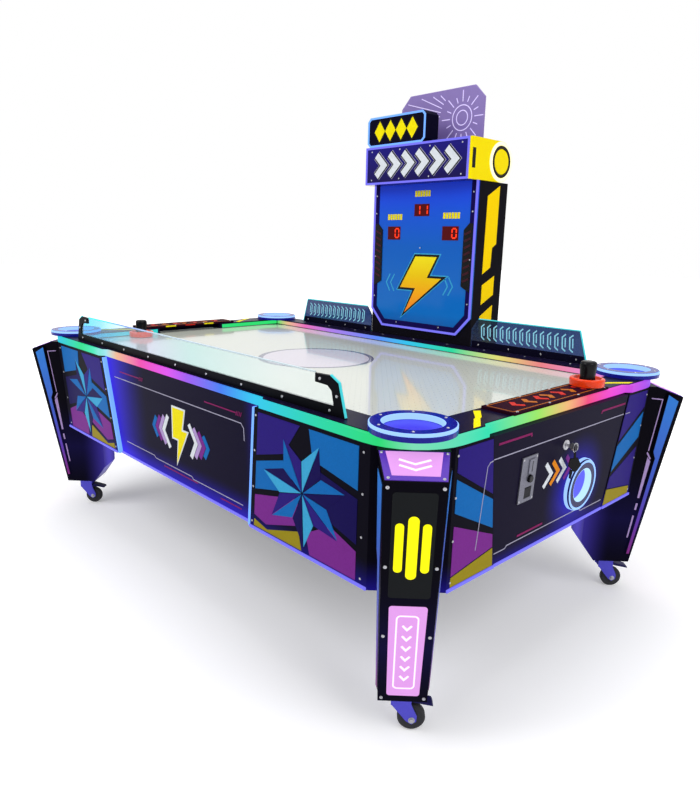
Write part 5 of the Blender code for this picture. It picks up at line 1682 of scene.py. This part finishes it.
    def back(self, kit: Kit) -> None:
        """Set screws and a louvred vent on the tower's back cover."""
        low, high = corners_of("tower_back_cover")
        face = back_face("tower_back_cover")
        for height in np.linspace(1.30, 1.44, 8):
            louvre = rounded(-0.14, height, 0.14, height + 0.009, 0.004)
            kit.of("back_louvres", Look.BLACK_MATT).plate(face, louvre, 0.0, 0.0035, edge=0.0015)
        spots = [(x, z) for x in (-0.27, 0.27) for z in np.linspace(low[2] + 0.03, high[2] - 0.03, 6)]
        kit.of("back_screws", Look.SATIN_STEEL).screw(face, spots, radius=0.0045)


@dataclass
class EndDoors:
    """End doors with their outlines, lit puck returns, coin plate and key tag."""

    return_at: Pair = (0.116, 0.140)
    return_inner: float = 0.055
    return_flange: float = 0.082
    return_lip: float = 0.016
    return_depth: float = 0.075
    coin_at: Pair = (-0.194, 0.231)
    key_at: Pair = (0.002, 0.290)
    plate_high: float = 0.004
    line_width: float = 0.003
    bar_width: float = 0.006
    edge_width: float = 0.008
    edge_high: float = 0.004
    chevrons_at: Pair = (-0.020, 0.215)
    chevron_step: float = 0.038
    bezel_high: float = 0.003
    ring_out: float = 0.0300

    def build(self) -> None:
        """Dress both doors and what is on them."""
        dress(Look.DOOR_PRINT, "end_door_right", "end_door_left")
        dress(Look.RETURN_BLUE, "puck_return_right", "puck_return_left")
        dress(Look.COIN_STEEL, "coin_plate")
        dress(Look.SATIN_STEEL, "door_key")
        dress(Look.BLACK_GLOSS, "coin_reject_button")
        dress(Look.BLACK_MATT, "coin_return_flap")
        for name, side in (("right", Side.RIGHT), ("left", Side.LEFT)):
            kit = Kit(f"door_{name}")
            face = cabinet_face(side, Place.door_recess)
            body = f"door_{name}"
            self.prints(kit, face, body)
            self.puck_return(kit, face, body)
            if side is Side.RIGHT:
                self.coin(kit, face, body)
            kit.finish()

    def prints(self, kit: Kit, face: Face, body: str) -> None:
        """Print the thin outline, magenta bars and a row of chevrons, and light the lower edge."""
        lines = kit.of("lines", Look.LINE_WHITE, body)
        upper = ((-0.366, 0.3235), (0.366, 0.3235))
        lower = (
            (-0.314, 0.040), (-0.262, 0.040), (-0.254, 0.047), (0.150, 0.047), (0.160, 0.036), (0.300, 0.036),
        )
        for path in (upper, lower):
            lines.line(face, path, self.line_width, 0.0, LINE_HIGH)
        bars = kit.of("bars", Look.LINE_MAGENTA, body)
        for path in (
            ((-0.352, 0.362), (-0.200, 0.362), (-0.198, 0.354)),
            ((0.203, 0.352), (0.207, 0.360), (0.366, 0.360)),
            ((-0.206, 0.060), (-0.072, 0.060)),
        ):
            bars.line(face, path, self.bar_width, 0.0, BAR_HIGH)
        middle = self.edge_width / 2
        strip = kit.of("lower_strip", Look.LED_VIOLET, body)
        strip.line(face, ((-0.308, middle), (0.308, middle)), self.edge_width, 0.0, self.edge_high)
        spot = face.shifted(self.chevrons_at)
        arms = np.array(((-0.020, 0.036), (0.016, 0.0), (-0.020, -0.036)))
        looks = (Look.WHITE_PRINT, Look.ORANGE_PRINT, Look.WHITE_PRINT, Look.MAGENTA_PRINT)
        for step, look in enumerate(looks):
            path = arms + vec(self.chevron_step * (step - 1.5), 0.0)
            kit.of(f"chevron_{step}", look, body).line(spot, path, 0.015, 0.0, BAR_HIGH)

    def puck_return(self, kit: Kit, face: Face, body: str) -> None:
        """Light a puck return's rim, side, inner band, wall and back."""
        spot = face.shifted(self.return_at)
        flange, lip = self.return_flange, self.return_lip
        front = lip + 0.002
        rim = (
            (flange - 0.009, lip + SKIN), (flange - 0.001, lip + SKIN),
            (flange - 0.003, front), (flange - 0.007, front),
        )
        outer = flange + SKIN
        side = ((outer, 0.001), (outer + 0.002, 0.001), (outer + 0.002, lip - 0.005), (outer, lip - 0.005))
        inner = self.return_inner
        deep = 0.0046 - self.return_depth
        band = (
            (inner - SKIN, -0.004), (inner - SKIN, lip),
            (inner - 0.003, lip - 0.001), (inner - 0.003, -0.004),
        )
        wall = ((inner - SKIN, deep), (inner - SKIN, -0.005), (inner - 0.003, -0.005), (inner - 0.003, deep))
        for name, look, profile in (
            ("rim", Look.LED_ICE, rim),
            ("side", Look.LED_ICE, side),
            ("band", Look.LED_FROST, band),
            ("wall", Look.LED_PERIWINKLE, wall),
        ):
            kit.of(f"return_{name}", look, body).turned(spot, (0, 0), profile, 64)
        back = disc((0, -0.008), 0.040, 40)
        kit.of("return_back", Look.LED_PERIWINKLE, body).plate(spot, back, deep, deep + 0.002)

    def coin(self, kit: Kit, face: Face, body: str) -> None:
        """Set the bezel, the slot's painted shade and screws on the coin plate, and the collar, ring and tag
        at the key.
        """
        spot = face.shifted(self.coin_at, self.plate_high)
        bezel = rounded(-0.004, 0.014, 0.026, 0.058, 0.004)
        kit.of("coin_bezel", Look.COIN_STEEL, body).plate(spot, bezel, 0.0, self.bezel_high, edge=0.001)
        # The coin slot's opening is a black plate of painted shade.
        slot = rounded(0.009, 0.020, 0.0125, 0.052, 0.0015)
        kit.of("coin_slot", Look.BLACK_GLOSS, body).plate(spot, slot, self.bezel_high, 0.0034)
        corners = [(x, y) for x in (-0.032, 0.032) for y in (-0.061, 0.061)]
        kit.of("coin_screws", Look.SATIN_STEEL, body).screw(spot, corners, radius=0.0034)
        key = face.shifted(self.key_at)
        collar = ((0.0095, SKIN), (0.016, SKIN), (0.015, 0.003), (0.0095, 0.003))
        kit.of("lock_collar", Look.SATIN_STEEL, body).turned(key, (0, 0), collar, 36)
        ring = ((0.0125, 0.0290), (0.0145, 0.0290), (0.0145, 0.0310), (0.0125, 0.0310))
        kit.of("key_ring", Look.SATIN_STEEL, body).turned(key, (0, 0), ring, 28)
        hanging = Face(key.place(vec(0, 0), self.ring_out), unit(vec(1, 1, 0)), Z_AXIS)
        strap = ((-0.003, -0.013), (0.003, -0.013), (0.006, -0.032), (-0.002, -0.032))
        kit.of("key_strap", Look.BLACK_MATT, body).plate(hanging, strap, -0.001, 0.001)
        tag = (
            (-0.012, -0.034), (0.010, -0.030), (0.022, -0.052),
            (0.012, -0.070), (0.002, -0.074), (-0.016, -0.056),
        )
        kit.of("key_tag", Look.BLACK_GLOSS, body).plate(hanging, tag, -0.002, 0.002, edge=0.001)
        tail = ((-0.010, -0.066), (0.000, -0.070), (-0.004, -0.096), (-0.010, -0.094))
        kit.of("key_tail", Look.BLACK_MATT, body).plate(hanging, tail, -0.001, 0.001)


@dataclass
class Mallets:
    """Turned strikers with a felt foot and a black knob, in place of their CAD solids."""

    radius: float = 0.054
    knob: float = 0.026
    height: float = 0.080
    lip_round: float = 0.006
    crown_round: float = 0.010
    axis: float = 0.001
    felt_high: float = 0.0014

    def build(self) -> None:
        """Make both strikers."""
        for name in ENDS:
            self.striker(name)

    def striker(self, name: str) -> None:
        """Turn one striker's dished base, its felt and its rounded knob, each a loop about its axis."""
        node = f"mallet_{name}"
        face = foot_face(node)
        body = f"striker_{name}"
        wide, knob, axis = self.radius, self.knob, self.axis
        turn = np.linspace(0, math.pi / 2, 7)
        quarter = np.stack((np.cos(turn), np.sin(turn)), -1)
        lip = vec(wide - self.lip_round, 0.021) + self.lip_round * quarter
        dish = ((wide - 0.011, 0.0265), (wide - 0.015, 0.020), (wide - 0.019, 0.018), (axis, 0.018))
        foot = ((axis, 0.0015), (wide - 0.004, 0.0015), (wide - 0.001, 0.003))
        base = Shells()
        base.turned(face, (0, 0), np.concatenate((foot, lip, dish)), 64)
        made = base.piece(f"{node}_base", Look.ORANGE_GLOSS, body)
        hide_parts(node)
        felt = Shells()
        felt.turned(face, (0, 0), rectangle(axis, 0.0, wide - 0.004, self.felt_high), 48)
        felt.piece(f"{node}_felt", Look.BLACK_RUBBER, body)
        crown = vec(knob - self.crown_round, self.height - self.crown_round) + self.crown_round * quarter
        stem = (
            (axis, 0.0182), (knob - 0.001, 0.0182), (knob - 0.003, 0.030),
            (knob - 0.001, 0.050), (knob, 0.060),
        )
        grip = Shells()
        grip.turned(face, (0, 0), np.concatenate((stem, crown, ((axis, self.height),))), 48)
        grip.piece(f"{node}_grip", Look.BLACK_GLOSS, body)


@dataclass
class Studio:
    """Pale floor, soft lamps and the camera at the photograph's angle."""

    eye: Triple = (2.0142, -1.7609, 1.2570)
    azimuth: float = 46.456
    pitch: float = 13.475
    roll: float = 1.29
    lens: float = 29.37
    sensor: float = 36.0
    floor_half: float = 30.0
    floor_colour: str = "#f4f4f6"
    floor_white: Pair = (1.2, 4.0)
    floor_glow: Pair = (0.25, 1.0)
    room_light: float = 0.40
    lamp_aim: Triple = (0, 0, 0.8)

    def build(self) -> None:
        """Set the view, the world, the floor, the lamps and the camera."""
        bpy.context.scene.view_settings.view_transform = "Standard"
        self.world()
        self.floor()
        for name, place, size, energy in (
            ("key_lamp", (-1.5, -4.0, 4.2), 3.0, 130.0),
            ("fill_lamp", (4.2, -0.5, 3.4), 3.0, 90.0),
            ("top_lamp", (0.0, 0.5, 5.0), 3.5, 90.0),
        ):
            self.lamp(name, place, size, energy)
        self.camera()

    def world(self) -> None:
        """Light the room evenly, and show white to the camera, in gloss and through clear sheets."""
        world = bpy.data.worlds.new("studio_world")
        world.use_nodes = True
        bpy.context.scene.world = world
        tree = world.node_tree
        back = tree.nodes["Background"]
        back.inputs["Color"].default_value = linear("#ffffff")
        level = map_range(tree, seen_rays(tree), {"To Min": self.room_light})
        tree.links.new(level, back.inputs["Strength"])

    def floor(self) -> None:
        """Lay a wide pale floor, which whitens outwards where it is seen and so leaves no horizon."""
        reach = self.floor_half
        mesh = bpy.data.meshes.new("studio_floor")
        corners = np.concatenate((rectangle(-reach, -reach, reach, reach), np.zeros((4, 1))), 1)
        mesh.from_pydata(corners.tolist(), [], [[0, 1, 2, 3]])
        material = bpy.data.materials.new("pale_floor")
        material.use_nodes = True
        tree = material.node_tree
        shader = tree.nodes["Principled BSDF"]
        shader.inputs["Base Color"].default_value = linear(self.floor_colour)
        shader.inputs["Roughness"].default_value = 0.8
        shader.inputs["Specular IOR Level"].default_value = 0.1
        shader.inputs["Emission Color"].default_value = linear("#ffffff")
        limits = ("From Min", "From Max", "To Min", "To Max")
        ranges = dict(zip(limits, (*self.floor_white, *self.floor_glow)))
        white = map_range(tree, vector_math(tree, "LENGTH", object_place(tree)), ranges)
        shown = number_math(tree, "MULTIPLY", seen_rays(tree), white)
        tree.links.new(shown, shader.inputs["Emission Strength"])
        mesh.materials.append(material)
        floor = bpy.data.objects.new("studio_floor", mesh)
        bpy.context.scene.collection.objects.link(floor)

    def lamp(self, name: str, place: Triple, size: float, energy: float) -> None:
        """Hang a square soft lamp that faces the table's middle."""
        light = bpy.data.lights.new(name, "AREA")
        light.size = size
        light.energy = energy
        lamp = bpy.data.objects.new(name, light)
        bpy.context.scene.collection.objects.link(lamp)
        lamp.location = place
        self.aim(lamp, unit(vec(*self.lamp_aim) - vec(*place)), Z_AXIS)

    def aim(self, thing: bpy.types.Object, way: np.ndarray, up: np.ndarray) -> None:
        """Turn a lamp or camera to look along a way, with an up direction."""
        right = unit(np.cross(way, up))
        above = np.cross(right, way)
        turn = np.eye(4)
        turn[:3, :3] = np.stack((right, above, -way), 1)
        turn[:3, 3] = thing.location
        thing.matrix_world = [list(row) for row in turn.T]

    def camera(self) -> None:
        """Stand the camera where the photograph was taken from."""
        data = bpy.data.cameras.new("photo_camera")
        data.lens = self.lens
        data.sensor_width = self.sensor
        camera = bpy.data.objects.new("photo_camera", data)
        bpy.context.scene.collection.objects.link(camera)
        camera.location = self.eye
        azimuth, pitch, roll = (math.radians(a) for a in (self.azimuth, self.pitch, self.roll))
        ahead = vec(-math.sin(azimuth), math.cos(azimuth), 0)
        way = ahead * math.cos(pitch) - Z_AXIS * math.sin(pitch)
        level = vec(math.cos(azimuth), math.sin(azimuth), 0)
        up = np.cross(level, way)
        self.aim(camera, way, up * math.cos(roll) - level * math.sin(roll))
        bpy.context.scene.camera = camera


def main() -> None:
    """Build the sub-assemblies in order."""
    logging.basicConfig(level=logging.INFO, format="%(name)s: %(message)s")
    kinds = (Cabinet, Legs, Casters, PlayingTop, Guards, Tower, EndDoors, Mallets, Studio)
    for part in (kind() for kind in kinds):
        part.build()
        LOG.info("%s is done", type(part).__name__)


if __name__ == "__main__":
    main()
